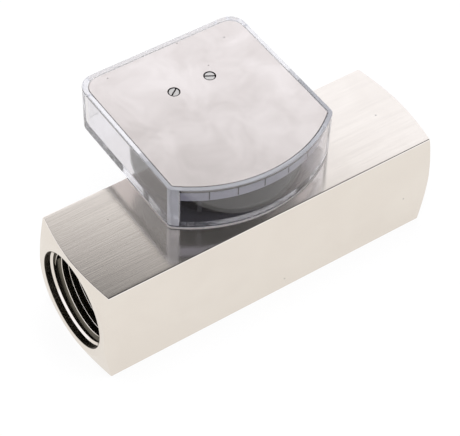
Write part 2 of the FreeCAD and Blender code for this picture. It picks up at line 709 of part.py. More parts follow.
def make_box():
    """The clear indicator box: drafted walls, rounded corners, open top with a rebate, drilled floor."""
    body = new_body("indicator_box", ("0", "0", BOX_LEVEL))
    outside = sketch_on(body, "XY_Plane", "box_height")
    draw_window_outline(
        outside, "box_half_width", "box_rear", "box_arc_radius", "box_rear_corner", "box_front_corner"
    )
    pad(body, outside, "box_height", "-box_draft", downward=True)
    inside = sketch_on(body, "XY_Plane", "box_height")
    draw_window_outline(
        inside,
        "(box_half_width - box_side_wall)",
        "(box_rear - box_rear_wall)",
        WINDOW_RADIUS,
        "(box_rear_corner - box_wall)",
        "box_inner_front_corner",
    )
    pocket(body, inside, "box_height - box_floor", "-box_draft")
    rebate = sketch_on(body, "XY_Plane", "box_height")
    draw_window_outline(
        rebate,
        "(box_half_width - cover_rim)",
        "(box_rear - cover_rear_rim)",
        "(box_arc_radius - cover_rim)",
        "(cover_rear_corner + cover_gap)",
        "(cover_front_corner + cover_gap)",
    )
    pocket(body, rebate, "cover_thickness")
    holes = sketch_on(body, "XY_Plane", "box_floor")
    for x, y in base_screw_places():
        draw_circle(holes, "base_screw_radius + fit_gap", x, y)
    pocket(body, holes, "box_floor")
    return body


def screw_places():
    """Where the two cover screws and their posts stand, as pairs of expressions."""
    return {"left": ("-screw_spacing / 2", "pivot_offset"), "right": ("screw_spacing / 2", "pivot_offset")}


def make_cover():
    """The metal cover plate: the box's outline, two screw recesses, and a bevelled top edge."""
    body = new_body("cover_plate", ("0", "0", COVER_LEVEL))
    outline = sketch_on(body, "XY_Plane")
    draw_window_outline(
        outline,
        "(box_half_width - cover_rim - cover_gap)",
        "(box_rear - cover_rear_rim - cover_gap)",
        "(box_arc_radius - cover_rim - cover_gap)",
        "cover_rear_corner",
        "cover_front_corner",
    )
    pad(body, outline, "cover_thickness")
    top = worth("cover_thickness")

    def on_top(edge):
        return all(abs(vertex.Point.z - top) < LEVEL_TOLERANCE for vertex in edge.Vertexes)

    round_edges(body, "Chamfer", "cover_edge_break", on_top)
    for radius, depth in (
        ("screw_recess_radius", "screw_recess_depth"),
        ("screw_shank_radius + fit_gap", "cover_thickness"),
    ):
        holes = sketch_on(body, "XY_Plane", "cover_thickness")
        for x, y in screw_places().values():
            draw_circle(holes, radius, x, y)
        pocket(body, holes, depth)
    return body


def make_cover_screw(side, slot_angle):
    """A slotted cheese-head screw, turned to the direction of its slot."""
    x, y = screw_places()[side]
    head_level = "(bar_width + box_height - screw_recess_depth)"
    body = new_body(f"cover_screw_{side}", (x, y, head_level), slot_angle)
    bevel = "screw_head_height / 10"
    section = [
        ("0", "-screw_shank_length"),
        ("screw_shank_radius", "-screw_shank_length"),
        ("screw_shank_radius", "0"),
        ("screw_head_radius", "0"),
        ("screw_head_radius", f"screw_head_height - {bevel}"),
        (f"screw_head_radius - {bevel}", "screw_head_height"),
        ("0", "screw_head_height"),
    ]
    turn(body, section, "V_Axis")
    slot = sketch_on(body, "XY_Plane", "screw_head_height")
    long, wide = "screw_recess_radius", "screw_slot_width / 2"
    draw_bar(slot, long, f"-{wide}", wide)
    pocket(body, slot, "screw_slot_depth")
    return body


def make_mechanism_plate():
    """The round plate on the box's floor that carries the posts and the lower bearing."""
    body = new_body("mechanism_plate", ("0", "0", BASE_LEVEL))
    disc = sketch_on(body, "XY_Plane")
    draw_circle(disc, "base_radius", "0", BASE_CENTRE)
    draw_circle(disc, "bearing_radius + fit_gap", "0", "pivot_offset")
    for x, y in screw_places().values():
        draw_circle(disc, "post_spigot_radius + fit_gap", x, y)
    for x, y in base_screw_places():
        draw_circle(disc, "base_screw_radius + fit_gap", x, y)
    pad(body, disc, "base_thickness")
    heads = sketch_on(body, "XY_Plane", "base_thickness")
    for x, y in base_screw_places():
        draw_circle(heads, "base_screw_head_radius + fit_gap", x, y)
    pocket(body, heads, "base_screw_head_radius - base_screw_radius", "-45")
    return body


def make_base_screw(index, place):
    """A countersunk socket screw that holds the mechanism plate and the box's floor to the bar."""
    x, y = place
    body = new_body(f"base_screw_{index}", (x, y, DECK_LEVEL))
    cone = "(base_screw_head_radius - base_screw_radius)"
    section = [
        ("0", "-base_screw_length"),
        ("base_screw_radius", "-base_screw_length"),
        ("base_screw_radius", f"-{cone}"),
        ("base_screw_head_radius", "0"),
        ("0", "0"),
    ]
    turn(body, section, "V_Axis")
    socket = sketch_on(body, "XY_Plane")
    corner = "(hex_key_flats / 2 / cos(30))"
    draw_polygon(socket, [(f"{corner} * cos({a})", f"{corner} * sin({a})") for a in HEXAGON_ANGLES])
    pocket(body, socket, "hex_key_depth")
    return body


def make_post(side):
    """A turned post: a foot in the mechanism plate and a tapped hole for the cover screw."""
    x, y = screw_places()[side]
    height = f"({BRIDGE_LEVEL} - {DECK_LEVEL})"
    hole = "(screw_shank_radius + fit_gap)"
    section = [
        ("0", "-post_spigot_length"),
        ("post_spigot_radius", "-post_spigot_length"),
        ("post_spigot_radius", "0"),
        ("post_radius", "0"),
        ("post_radius", height),
        (hole, height),
        (hole, f"{height} - post_hole_depth"),
        ("0", f"{height} - post_hole_depth"),
    ]
    return turned_piece(f"cover_post_{side}", section, "V_Axis", (x, y, DECK_LEVEL))


def make_bridge():
    """The bearing bridge: a flat strip clamped between the posts and the cover."""
    body = new_body("bearing_bridge", ("0", "pivot_offset", BRIDGE_LEVEL))
    strip = sketch_on(body, "XY_Plane")
    long, wide = "(screw_spacing / 2 + bridge_end_margin)", "bridge_half_width"
    draw_bar(strip, long, f"-{wide}", wide)
    draw_circle(strip, "bearing_radius + fit_gap")
    for sign in ("-", ""):
        draw_circle(strip, "screw_shank_radius + fit_gap", f"{sign}screw_spacing / 2")
    pad(body, strip, "bridge_thickness")
    round_edges(body, "Fillet", "bridge_half_width / 2", is_upright)
    return body


def make_bearings():
    """The two flanged bearings of the pointer axle."""
    bore = "(pivot_radius + fit_gap)"
    lower = [
        (bore, "-base_thickness"),
        ("bearing_radius", "-base_thickness"),
        ("bearing_radius", "0"),
        ("bearing_flange_radius", "0"),
        ("bearing_flange_radius", "bearing_flange_height"),
        (bore, "bearing_flange_height"),
    ]
    upper = [
        (bore, "-bearing_flange_height"),
        ("bearing_flange_radius", "-bearing_flange_height"),
        ("bearing_flange_radius", "0"),
        ("bearing_radius", "0"),
        ("bearing_radius", "bridge_thickness"),
        (bore, "bridge_thickness"),
    ]
    turned_piece("lower_bearing", lower, "V_Axis", ("0", "pivot_offset", DECK_LEVEL))
    turned_piece("upper_bearing", upper, "V_Axis", ("0", "pivot_offset", BRIDGE_LEVEL))


def make_axle():
    """The pointer axle: two thin journals and a thicker staff between the bearings."""
    height = f"({BRIDGE_LEVEL} - {DECK_LEVEL})"
    shoulder = "(bearing_flange_height + axle_end_play)"
    foot = "(journal_floor_gap - base_thickness)"
    section = [
        ("0", foot),
        ("pivot_radius", foot),
        ("pivot_radius", shoulder),
        ("axle_radius", shoulder),
        ("axle_radius", f"{height} - {shoulder}"),
        ("pivot_radius", f"{height} - {shoulder}"),
        ("pivot_radius", f"{height} + journal_reach"),
        ("0", f"{height} + journal_reach"),
    ]
    turned_piece("pointer_axle", section, "V_Axis", ("0", "pivot_offset", DECK_LEVEL), "-swing_half_angle")


def make_pointer():
    """The swinging parts on the axle, all turned to the zero end of the scale."""
    at_arm = ("0", "pivot_offset", ARM_LEVEL)
    zero = "-swing_half_angle"
    bore = "(axle_radius + fit_gap)"
    boss_top = "(arm_thickness + hub_boss_proud)"
    hub = [
        (bore, "-hub_height"),
        ("hub_radius", "-hub_height"),
        ("hub_radius", "0"),
        ("hub_boss_radius", "0"),
        ("hub_boss_radius", boss_top),
        (bore, boss_top),
    ]
    turned_piece("pointer_hub", hub, "V_Axis", at_arm, zero)

    arm = new_body("pointer_arm", at_arm, zero)
    blade = sketch_on(arm, "XY_Plane")
    root, tip = "arm_root_half_width", "arm_tip_half_width"
    tail, reach = "arm_tail_length", f"({TIP_RADIUS} - flag_thickness)"
    draw_polygon(blade, [(f"-{root}", tail), (f"-{tip}", f"-{reach}"), (tip, f"-{reach}"), (root, tail)])
    draw_circle(blade, "hub_boss_radius + fit_gap")
    pad(arm, blade, "arm_thickness")
    seat = sketch_on(arm, "XY_Plane")
    draw_circle(seat, "arm_seat_radius", "0", "-pivot_offset")
    pad(arm, seat, "arm_thickness")

    flag = new_body("pointer_tip", at_arm, zero)
    plate = sketch_on(flag, "XY_Plane", "arm_thickness - flag_height")
    half = "flag_half_width"
    draw_bar(plate, half, f"-{TIP_RADIUS}", f"-{reach}")
    pad(flag, plate, "flag_height")

    below_arm = {
        "follower_magnet": ("follower_radius", "follower_height", "-pivot_offset"),
        "counterweight": ("weight_radius", "weight_height", "arm_tail_length - weight_radius"),
    }
    for label, (radius, height, along) in below_arm.items():
        body = new_body(label, at_arm, zero)
        disc = sketch_on(body, "XY_Plane", f"-{height}")
        draw_circle(disc, radius, "0", along)
        pad(body, disc, height)


def make_scale():
    """The curved scale strip behind the window and the raised lines on its outer face."""
    outer = f"({WINDOW_RADIUS} - strip_gap)"
    half_angle = f"asin((box_half_width - box_side_wall - strip_side_gap) / {outer})"
    top = f"({COVER_LEVEL} - strip_cover_gap)"
    strip = new_body("scale_strip", ("0", "arc_centre", f"{top} - strip_height"))
    band = sketch_on(strip, "XY_Plane")
    draw_sector(band, f"({outer} - strip_thickness)", outer, half_angle)
    pad(strip, band, "strip_height")

    lines = new_body("scale_lines", ("0", "arc_centre", f"{top} - tick_height"), "tick_first")
    lines.AllowCompound = True
    mark = sketch_on(lines, "XY_Plane")
    half, face = "tick_width / 2", f"({outer} + tick_relief)"
    draw_bar(mark, half, f"-{face}", f"-{outer}")
    first = pad(lines, mark, "tick_height")
    repeat_around(lines, first, "Z_Axis", TICK_COUNT, f"tick_step * {TICK_COUNT - 1}")


def make_all():
    """Builds every sub-part, from the bar outwards."""
    fill_sheet()
    make_bar()
    make_sleeve()
    make_seal()
    make_spider("inlet_spider", f"-{RING_FACE}")
    make_spider("outlet_spider", SLEEVE_HALF)
    make_snap_ring("inlet_snap_ring", f"(-{RING_FACE} - ring_play - snap_ring_width)")
    make_snap_ring("outlet_snap_ring", f"({RING_FACE} + ring_play)")
    make_guide_rod()
    nut_starts = {"inlet_rod_nut": f"(-{RING_FACE} - rod_nut_height)", "outlet_rod_nut": RING_FACE}
    for label, start in nut_starts.items():
        make_hex_nut(label, start, "rod_nut_height", "rod_nut_flats / 2", BUSH_BORE)
    make_float()
    make_float_fittings()
    make_float_stops()
    make_spring()
    make_box()
    make_cover()
    make_cover_screw("left", "left_slot_angle")
    make_cover_screw("right", "right_slot_angle")
    make_mechanism_plate()
    for index, place in enumerate(base_screw_places(), start=1):
        make_base_screw(index, place)
    for side in screw_places():
        make_post(side)
    make_bridge()
    make_bearings()
    make_axle()
    make_pointer()
    make_scale()
    document.recompute()


def check_model():
    """Stops if any object failed to compute or any sub-part has no valid solid."""
    for item in document.Objects:
        if {"Invalid", "Error"} & set(item.State):
            raise RuntimeError(f"{item.Label} failed: {item.State}")
    for node in nodes:
        if node.Shape.isNull() or not node.Shape.isValid() or not node.Shape.Solids:
            raise RuntimeError(f"{node.Label} has no valid solid")


def write_parts():
    """Writes each sub-part's shape to a STEP file named after its label."""
    os.makedirs(OUTPUT_FOLDER, exist_ok=True)
    for node in nodes:
        node.Shape.exportStep(os.path.join(OUTPUT_FOLDER, node.Label + ".step"))
        box = node.Shape.optimalBoundingBox()
        size = f"{box.XLength:.2f} x {box.YLength:.2f} x {box.ZLength:.2f} mm"
        print(f"{node.Label}: {len(node.Shape.Solids)} solid, {node.Shape.Volume:.1f} mm3, {size}")


make_all()
check_model()
write_parts()
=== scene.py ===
"""The looks of a variable-area flow meter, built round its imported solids.

A square nickel-plated bar with a threaded port at each end carries a clear indicator box with a
curved window, a metal cover and a curved scale. Every piece is in metres in the frame of the solids:
the origin is the centre of the bar's underside, +X is the direction of flow and +Z is up. The sizes
in the classes are in millimetres, and become metres where a mesh is made.
"""

import json
import logging
import math
from collections.abc import Callable, Mapping, Sequence
from dataclasses import dataclass, field
from enum import Enum, IntEnum

import bmesh
import bpy
import numpy as np
from bpy.types import Material, Node, NodeSocket, NodeTree, Object
from mathutils import Matrix, Vector


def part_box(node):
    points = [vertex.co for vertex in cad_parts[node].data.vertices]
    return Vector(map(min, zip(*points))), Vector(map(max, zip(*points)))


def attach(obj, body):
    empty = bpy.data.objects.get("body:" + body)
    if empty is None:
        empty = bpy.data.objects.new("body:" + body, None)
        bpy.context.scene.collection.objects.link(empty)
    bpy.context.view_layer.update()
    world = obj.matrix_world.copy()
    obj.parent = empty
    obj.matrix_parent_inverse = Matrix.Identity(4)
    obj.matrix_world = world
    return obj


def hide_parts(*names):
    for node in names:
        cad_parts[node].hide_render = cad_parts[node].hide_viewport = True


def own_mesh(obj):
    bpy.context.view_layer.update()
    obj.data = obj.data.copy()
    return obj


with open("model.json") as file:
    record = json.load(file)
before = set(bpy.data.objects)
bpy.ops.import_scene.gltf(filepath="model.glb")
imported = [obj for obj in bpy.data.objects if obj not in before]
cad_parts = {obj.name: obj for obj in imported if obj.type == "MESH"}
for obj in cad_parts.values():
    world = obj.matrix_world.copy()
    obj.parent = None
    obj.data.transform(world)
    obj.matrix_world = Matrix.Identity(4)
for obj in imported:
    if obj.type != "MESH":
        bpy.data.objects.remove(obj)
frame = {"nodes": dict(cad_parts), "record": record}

log = logging.getLogger("flow_meter")

MM = 0.001
METER = "meter"
# A rounding takes at most this share of a side, and no length is divided by less than the second.
LONGEST_CUT = 0.45
TINY = 1e-9
QUARTER_TURN = 90.0
Colour = tuple[float, float, float]


# --- Meshes from arrays ---


@dataclass(frozen=True)
class Span:
    """The lowest and highest corner of a solid, in millimetres."""

    low: np.ndarray
    high: np.ndarray

    @classmethod
    def of(cls, node: str) -> "Span":
        """The box of the solid of that name."""
        low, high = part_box(node)
        return cls(np.array(low) / MM, np.array(high) / MM)

    @property
    def size(self) -> np.ndarray:
        """Length along each axis."""
        return self.high - self.low


def span_of(node: str) -> Span:
    """A dataclass field that starts as the span of the solid of that name."""
    return field(default_factory=lambda: Span.of(node))


def add_object(name: str, data: bpy.types.ID) -> Object:
    """Puts a mesh, a camera or a lamp into the scene as an object at the origin, and gives it."""
    made = bpy.data.objects.new(name, data)
    bpy.context.scene.collection.objects.link(made)
    return made


def make_sweep(
    name: str,
    rings: np.ndarray,
    closed: bool = False,
    poles: np.ndarray | None = None,
    sharp_angle: float = 40.0,
) -> Object:
    """Joins rows of points into a closed surface that faces outwards and is shaded smoothly.

    Each quad joins two neighbours on one row to the same two on the next, row by row. Then come the
    caps of the first row and of the last.

    Args:
        name: the object's name.
        rings: the points in millimetres, as an array of rows by points around by three.
        closed: True if the last row joins the first, so that there are no caps.
        poles: the middles of the two caps, each a fan of triangles; without them a cap is one face.
        sharp_angle: edges that turn by more than this many degrees stay sharp.

    Returns:
        The new object, at the origin.
    """
    points = rings.reshape(-1, 3)
    number = np.arange(len(points)).reshape(rings.shape[:2])
    here, after = (number, np.roll(number, -1, axis=0)) if closed else (number[:-1], number[1:])
    corners = [here, np.roll(here, -1, axis=1), np.roll(after, -1, axis=1), after]
    faces = np.stack(corners, axis=-1).reshape(-1, 4).tolist()
    if poles is not None:
        for pole, end in enumerate(number[[0, -1]], start=len(points)):
            faces += np.column_stack([np.full(len(end), pole), end, np.roll(end, -1)]).tolist()
        points = np.concatenate([points, poles])
    elif not closed:
        faces += number[[0, -1]].tolist()
    mesh = bpy.data.meshes.new(name)
    mesh.from_pydata((points * MM).tolist(), [], faces)
    work = bmesh.new()
    work.from_mesh(mesh)
    bmesh.ops.recalc_face_normals(work, faces=work.faces)
    work.to_mesh(mesh)
    work.free()
    mesh.shade_smooth()
    mesh.set_sharp_from_angle(angle=math.radians(sharp_angle))
    return add_object(name, mesh)


def weigh_normals(piece: Object) -> None:
    """Lets the large flat faces of a piece keep their own normals beside its rounded edges."""
    modifier = piece.modifiers.new("weighted normals", "WEIGHTED_NORMAL")
    modifier.keep_sharp = True


def soften(
    path: list[np.ndarray], cuts: Sequence[float], steps: int
) -> tuple[list[np.ndarray], list[int]]:
    """Rounds the corners of a closed path of stations.

    Each station is an array of points that lie on many copies of one path. A corner P with
    neighbours A and B becomes the curve (1 - t)^2 P1 + 2 t (1 - t) P + t^2 P2, where P1 and P2 lie on
    its two sides at the cut's distance from P, or at a share of the side if that is nearer.

    Args:
        path: the stations, each an array of N points.
        cuts: how far from each station the rounding starts, or 0 for a sharp corner.
        steps: how many points a rounded corner gets.

    Returns:
        The stations of the rounded path, and for each one the number of the station that it came from.
    """
    rounded, source = [], []
    for index, (here, cut) in enumerate(zip(path, cuts)):
        if cut == 0:
            rounded.append(here)
            source.append(index)
            continue
        ends = []
        for other in (path[index - 1], path[(index + 1) % len(path)]):
            way = other - here
            reach = np.linalg.norm(way, axis=-1, keepdims=True)
            ends.append(here + way * np.minimum(cut / np.maximum(reach, TINY), LONGEST_CUT))
        for t in np.linspace(0, 1, steps):
            rounded.append((1 - t) ** 2 * ends[0] + 2 * t * (1 - t) * here + t**2 * ends[1])
            source.append(index)
    return rounded, source


def finish_piece(
    piece: Object, materials: Sequence[Material], stands_for: Sequence[str] = ()
) -> Object:
    """Gives a new piece its materials and the solids that it stands for; it rides on the meter.

    Args:
        piece: the new object.
        materials: its materials, in slot order.
        stands_for: the names of the solids that it replaces.

    Returns:
        The same object.
    """
    for material in materials:
        piece.data.materials.append(material)
    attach(piece, METER)
    if stands_for:
        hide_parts(*stands_for)
    log.info("%s: %d faces, rides on %s", piece.name, len(piece.data.polygons), METER)
    return piece


# --- Shader nodes ---

Inputs = Mapping[str | int, object]


class Graph:
    """A short way to add nodes to one node tree and join them."""

    def __init__(self, tree: NodeTree) -> None:
        """Starts on a tree, which keeps the nodes it has."""
        self.tree = tree

    def feed(self, node: Node, inputs: Inputs) -> Node:
        """Fills a node's inputs.

        Args:
            node: the node.
            inputs: for each input, a value or the output socket that feeds it.

        Returns:
            The same node.
        """
        for key, value in inputs.items():
            self.fill(node.inputs[key], value)
        return node

    def fill(self, socket: NodeSocket, value: object) -> None:
        """Gives one input socket a value, or the output socket that feeds it."""
        if isinstance(value, NodeSocket):
            self.tree.links.new(value, socket)
        else:
            socket.default_value = value

    def add(self, kind: str, inputs: Inputs | None = None, **settings: object) -> Node:
        """Adds one node.

        Args:
            kind: the node's type, without the leading "ShaderNode".
            inputs: for each input, a value or the output socket that feeds it.
            settings: the node's own properties.

        Returns:
            The node.
        """
        node = self.tree.nodes.new(f"ShaderNode{kind}")
        for key, value in settings.items():
            setattr(node, key, value)
        return self.feed(node, inputs or {})

    def maths(self, operation: str, *values: object) -> NodeSocket:
        """Adds a Math node on up to three values or sockets and gives its output."""
        return self.add("Math", dict(enumerate(values)), operation=operation).outputs[0]

    def blend(self, factor: object, first: object, second: object) -> NodeSocket:
        """Adds a colour mix from first to second and gives its output."""
        node = self.add("Mix", data_type="RGBA")
        for key, value in (("Factor_Float", factor), ("A_Color", first), ("B_Color", second)):
            self.fill(next(s for s in node.inputs if s.identifier == key), value)
        return next(s for s in node.outputs if s.identifier == "Result_Color")

    def spread(self, value: object, low: float, high: float) -> NodeSocket:
        """Stretches a value from 0..1 to low..high and gives the output."""
        return self.add("MapRange", {"Value": value, "To Min": low, "To Max": high}).outputs["Result"]

    def noise(self, vector: object, scale: object, detail: float, **inputs: object) -> NodeSocket:
        """Adds a Noise Texture and gives its value."""
        inputs = {"Vector": vector, "Scale": scale, "Detail": detail, **inputs}
        return self.add("TexNoise", inputs).outputs["Fac"]

    def group(self, tree: NodeTree, inputs: Inputs) -> NodeSocket:
        """Places a node group with its inputs and gives its one output."""
        node = self.tree.nodes.new("ShaderNodeGroup")
        node.node_tree = tree
        return self.feed(node, inputs).outputs[0]


def start_material(name: str) -> tuple[Material, Graph, Node]:
    """Makes a material and gives it, its graph and its Principled shader."""
    material = bpy.data.materials.new(name)
    material.use_nodes = True
    return material, Graph(material.node_tree), material.node_tree.nodes["Principled BSDF"]


Sockets = Mapping[str, NodeSocket]


class Effects:
    """The effects that several materials share, each a node group that is built once."""

    def __init__(self) -> None:
        """Builds every group, with the default of each of its inputs."""
        self.streaks = self.group("brushed_streaks", self.draw_streaks, Along=60.0, Across=2500.0)
        self.rings = self.group("turned_rings", self.draw_rings, Scale=3000.0)
        self.mottle = self.group("soft_mottle", self.draw_mottle, Scale=60.0)
        self.specks = self.group("dust_specks", self.draw_specks, Scale=400.0, Size=0.12, Sparse=0.62)
        # Lighter edges: partly wear, partly a painted highlight along the edges.
        self.edges = self.group("edge_wear_and_highlight", self.draw_worn_lit_edges, Radius=0.0003, Scale=900.0)
        # Painted shade in recesses and slots, from how closed in each point is.
        self.crevice_shade = self.group("crevice_painted_shade", self.draw_crevice_shade, Reach=0.0008, From=0.55, To=0.95)

    @staticmethod
    def group(name: str, draw: Callable[[Graph, Sockets], NodeSocket], **inputs: float) -> NodeTree:
        """Builds one group, whose one output is a value.

        Args:
            name: the group's name.
            draw: adds the group's nodes, which read its inputs, and gives the socket to put out.
            inputs: the default of each input beside the vector.

        Returns:
            The group.
        """
        tree = bpy.data.node_groups.new(name, "ShaderNodeTree")
        tree.interface.new_socket(name="Vector", in_out="INPUT", socket_type="NodeSocketVector")
        for label, value in inputs.items():
            socket = tree.interface.new_socket(name=label, in_out="INPUT", socket_type="NodeSocketFloat")
            socket.default_value = value
        tree.interface.new_socket(name="Value", in_out="OUTPUT", socket_type="NodeSocketFloat")
        g = Graph(tree)
        value = draw(g, tree.nodes.new("NodeGroupInput").outputs)
        g.feed(tree.nodes.new("NodeGroupOutput"), {"Value": value})
        return tree

    @staticmethod
    def draw_streaks(g: Graph, source: Sockets) -> NodeSocket:
        """Fine brushed lines: noise that is squeezed along one axis, in two widths."""
        scale = g.add("CombineXYZ", {"X": source["Along"], "Y": source["Across"], "Z": source["Across"]})
        place = g.add("VectorMath", {0: source["Vector"], 1: scale.outputs[0]}, operation="MULTIPLY")
        fine = g.noise(place.outputs[0], 1.0, 3.0, Roughness=0.7)
        wide = g.noise(place.outputs[0], 0.22, 2.0, Roughness=0.6)
        return g.maths("MULTIPLY_ADD", fine, 0.55, g.maths("MULTIPLY", wide, 0.45))

    @staticmethod
    def draw_rings(g: Graph, source: Sockets) -> NodeSocket:
        """Turning marks: noise of the distance from the X axis, after the vector is centred."""
        x, y, z = g.add("SeparateXYZ", {0: source["Vector"]}).outputs
        radius = g.maths("SQRT", g.maths("MULTIPLY_ADD", y, y, g.maths("MULTIPLY", z, z)))
        return g.noise(g.add("CombineXYZ", {"X": radius, "Y": x}).outputs[0], source["Scale"], 2.0)

    @staticmethod
    def draw_mottle(g: Graph, source: Sockets) -> NodeSocket:
        """Soft clouds, as handling leaves on satin metal."""
        cloud = g.noise(source["Vector"], source["Scale"], 4.0, Roughness=0.55, Distortion=0.6)
        return g.add("MapRange", {"Value": cloud, "From Min": 0.3, "From Max": 0.7}).outputs["Result"]

    @staticmethod
    def draw_specks(g: Graph, source: Sockets) -> NodeSocket:
        """Sparse dust: cells whose centre is near, kept only where a second noise is high."""
        cells = g.add("TexVoronoi", {"Vector": source["Vector"], "Scale": source["Scale"]})
        near = g.maths("LESS_THAN", cells.outputs["Distance"], source["Size"])
        chance = g.add("TexWhiteNoise", {"Vector": cells.outputs["Position"]}, noise_dimensions="3D")
        kept = g.maths("GREATER_THAN", chance.outputs["Value"], source["Sparse"])
        return g.maths("MULTIPLY", near, kept)

    @staticmethod
    def draw_worn_lit_edges(g: Graph, source: Sockets) -> NodeSocket:
        """Edge wear and painted highlight: how far a rounded normal departs from the true one, broken up
        by noise.
        """
        rounded = g.add("Bevel", {"Radius": source["Radius"]}, samples=4).outputs[0]
        true = g.add("NewGeometry").outputs["Normal"]
        turn = g.add("VectorMath", {0: rounded, 1: true}, operation="DOT_PRODUCT").outputs["Value"]
        bent = g.add("MapRange", {"Value": turn, "From Min": 0.995, "From Max": 0.8}).outputs["Result"]
        uneven = g.spread(g.noise(source["Vector"], source["Scale"], 2.0), 0.3, 1.0)
        return g.maths("MULTIPLY", bent, uneven)

    @staticmethod
    def draw_crevice_shade(g: Graph, source: Sockets) -> NodeSocket:
        """Painted shade: how much of the view from a point is closed in by near surfaces."""
        seen = g.add("AmbientOcclusion", {"Distance": source["Reach"]}, samples=8).outputs["AO"]
        ends = {"From Min": source["To"], "From Max": source["From"]}
        return g.add("MapRange", {"Value": seen, **ends}).outputs["Result"]


class Grain(Enum):
    """How a metal surface was worked, which sets the direction of its fine marks."""

    DRAWN = "drawn along the bar"
    TURNED = "turned about the bar's axis"
    SATIN = "satin in no direction"


DUST = (0.12, 0.11, 0.1, 1.0)
# The colour of the painted shade in recesses.
CREVICE_SHADE_COLOUR = (0.05, 0.045, 0.04, 1.0)


def toned(colour: Colour, share: float, added: float = 0.0) -> tuple[float, float, float, float]:
    """The colour times a share plus an amount, at most white, as an opaque shader colour."""
    return (*(min(1.0, c * share + added) for c in colour), 1.0)


@dataclass(frozen=True)
class MetalFinish:
    """A bare or plated metal: its tint, its gloss and the marks of how it was worked."""

    name: str
    tint: Colour
    shade: Colour
    roughness: float
    rough_spread: float = 0.06
    # The share of the clouds, rather than of the fine marks, in where the gloss is less.
    rough_cloud: float = 0.5
    grain: Grain = Grain.SATIN
    grain_height: float = 0.0
    grain_strength: float = 1.0
    grain_scale: float = 2500.0
    cloud_share: float = 0.8
    mottle_scale: float = 60.0
    mark_share: float = 0.0
    mark_low: float = 0.42
    mark_high: float = 0.68
    edge_radius: float = 0.00025
    # Edges are lightened towards a brighter tint, partly as wear and partly as a painted highlight.
    wear_highlight_share: float = 0.5
    wear_highlight_gain: float = 1.12
    wear_highlight_added: float = 0.0
    speck_share: float = 0.0
    dust_share: float = 0.55
    # How far the painted shade in recesses reaches, and how dark it gets.
    shade_reach: float = 0.0
    shade_share: float = 0.92
    axis_height: float = 0.0
    metallic: float = 1.0

    def material(self, effects: Effects) -> Material:
        """Builds the material.

        Args:
            effects: the shared node groups.

        Returns:
            The material; a value of metallic under 1 leaves a faint haze over the reflections.
        """
        material, g, shader = start_material(self.name)
        place = {0: g.add("TexCoord").outputs["Object"], "Location": (0, 0, -self.axis_height)}
        vector = g.add("Mapping", place).outputs[0]
        cloud = g.group(effects.mottle, {"Vector": vector, "Scale": self.mottle_scale})
        if self.grain is Grain.DRAWN:
            marks = g.group(effects.streaks, {"Vector": vector, "Across": self.grain_scale})
        elif self.grain is Grain.TURNED:
            marks = g.group(effects.rings, {"Vector": vector, "Scale": self.grain_scale})
        else:
            marks = g.noise(vector, self.grain_scale, 3.0)
        colour = g.blend(g.maths("MULTIPLY", cloud, self.cloud_share), (*self.tint, 1), (*self.shade, 1))
        if self.mark_share:
            line = {"Value": marks, "From Min": self.mark_low, "From Max": self.mark_high}
            line = g.add("MapRange", line).outputs["Result"]
            colour = g.blend(line, colour, toned(self.shade, 1 - self.mark_share))
        # Lighter edges: wear, and a painted highlight along the edges.
        wear_and_highlight = g.group(effects.edges, {"Vector": vector, "Radius": self.edge_radius})
        wear_highlight_tint = toned(self.tint, self.wear_highlight_gain, self.wear_highlight_added)
        colour = g.blend(g.maths("MULTIPLY", wear_and_highlight, self.wear_highlight_share), colour, wear_highlight_tint)
        if self.speck_share:
            dust = g.group(effects.specks, {"Vector": vector, "Sparse": 1 - self.speck_share})
            colour = g.blend(g.maths("MULTIPLY", dust, self.dust_share), colour, DUST)
        # Painted shade where near surfaces close in a point, as in recesses and slots.
        if self.shade_reach:
            painted_shade = g.group(effects.crevice_shade, {"Reach": self.shade_reach})
            colour = g.blend(g.maths("MULTIPLY", painted_shade, self.shade_share), colour, CREVICE_SHADE_COLOUR)
        fine = g.maths("MULTIPLY", marks, 1 - self.rough_cloud)
        uneven = g.maths("MULTIPLY_ADD", cloud, self.rough_cloud, fine)
        half = self.rough_spread / 2
        rough = g.spread(uneven, self.roughness - half, self.roughness + half)
        g.feed(shader, {"Base Color": colour, "Roughness": rough, "Metallic": self.metallic})
        if self.grain_height:
            height = {"Distance": self.grain_height, "Strength": self.grain_strength}
            g.feed(shader, {"Normal": g.add("Bump", {"Height": marks, **height}).outputs[0]})
        return material


@dataclass(frozen=True)
class SolidFinish(MetalFinish):
    """Moulded plastic, rubber, ink or a sintered magnet: the same effects without the metal."""

    rough_spread: float = 0.1
    rough_cloud: float = 0.0
    grain_height: float = 0.00001
    grain_strength: float = 0.5
    grain_scale: float = 1500.0
    cloud_share: float = 1.0
    mottle_scale: float = 120.0
    edge_radius: float = 0.0002
    wear_highlight_share: float = 0.25
    wear_highlight_gain: float = 1.3
    wear_highlight_added: float = 0.02
    metallic: float = 0.0


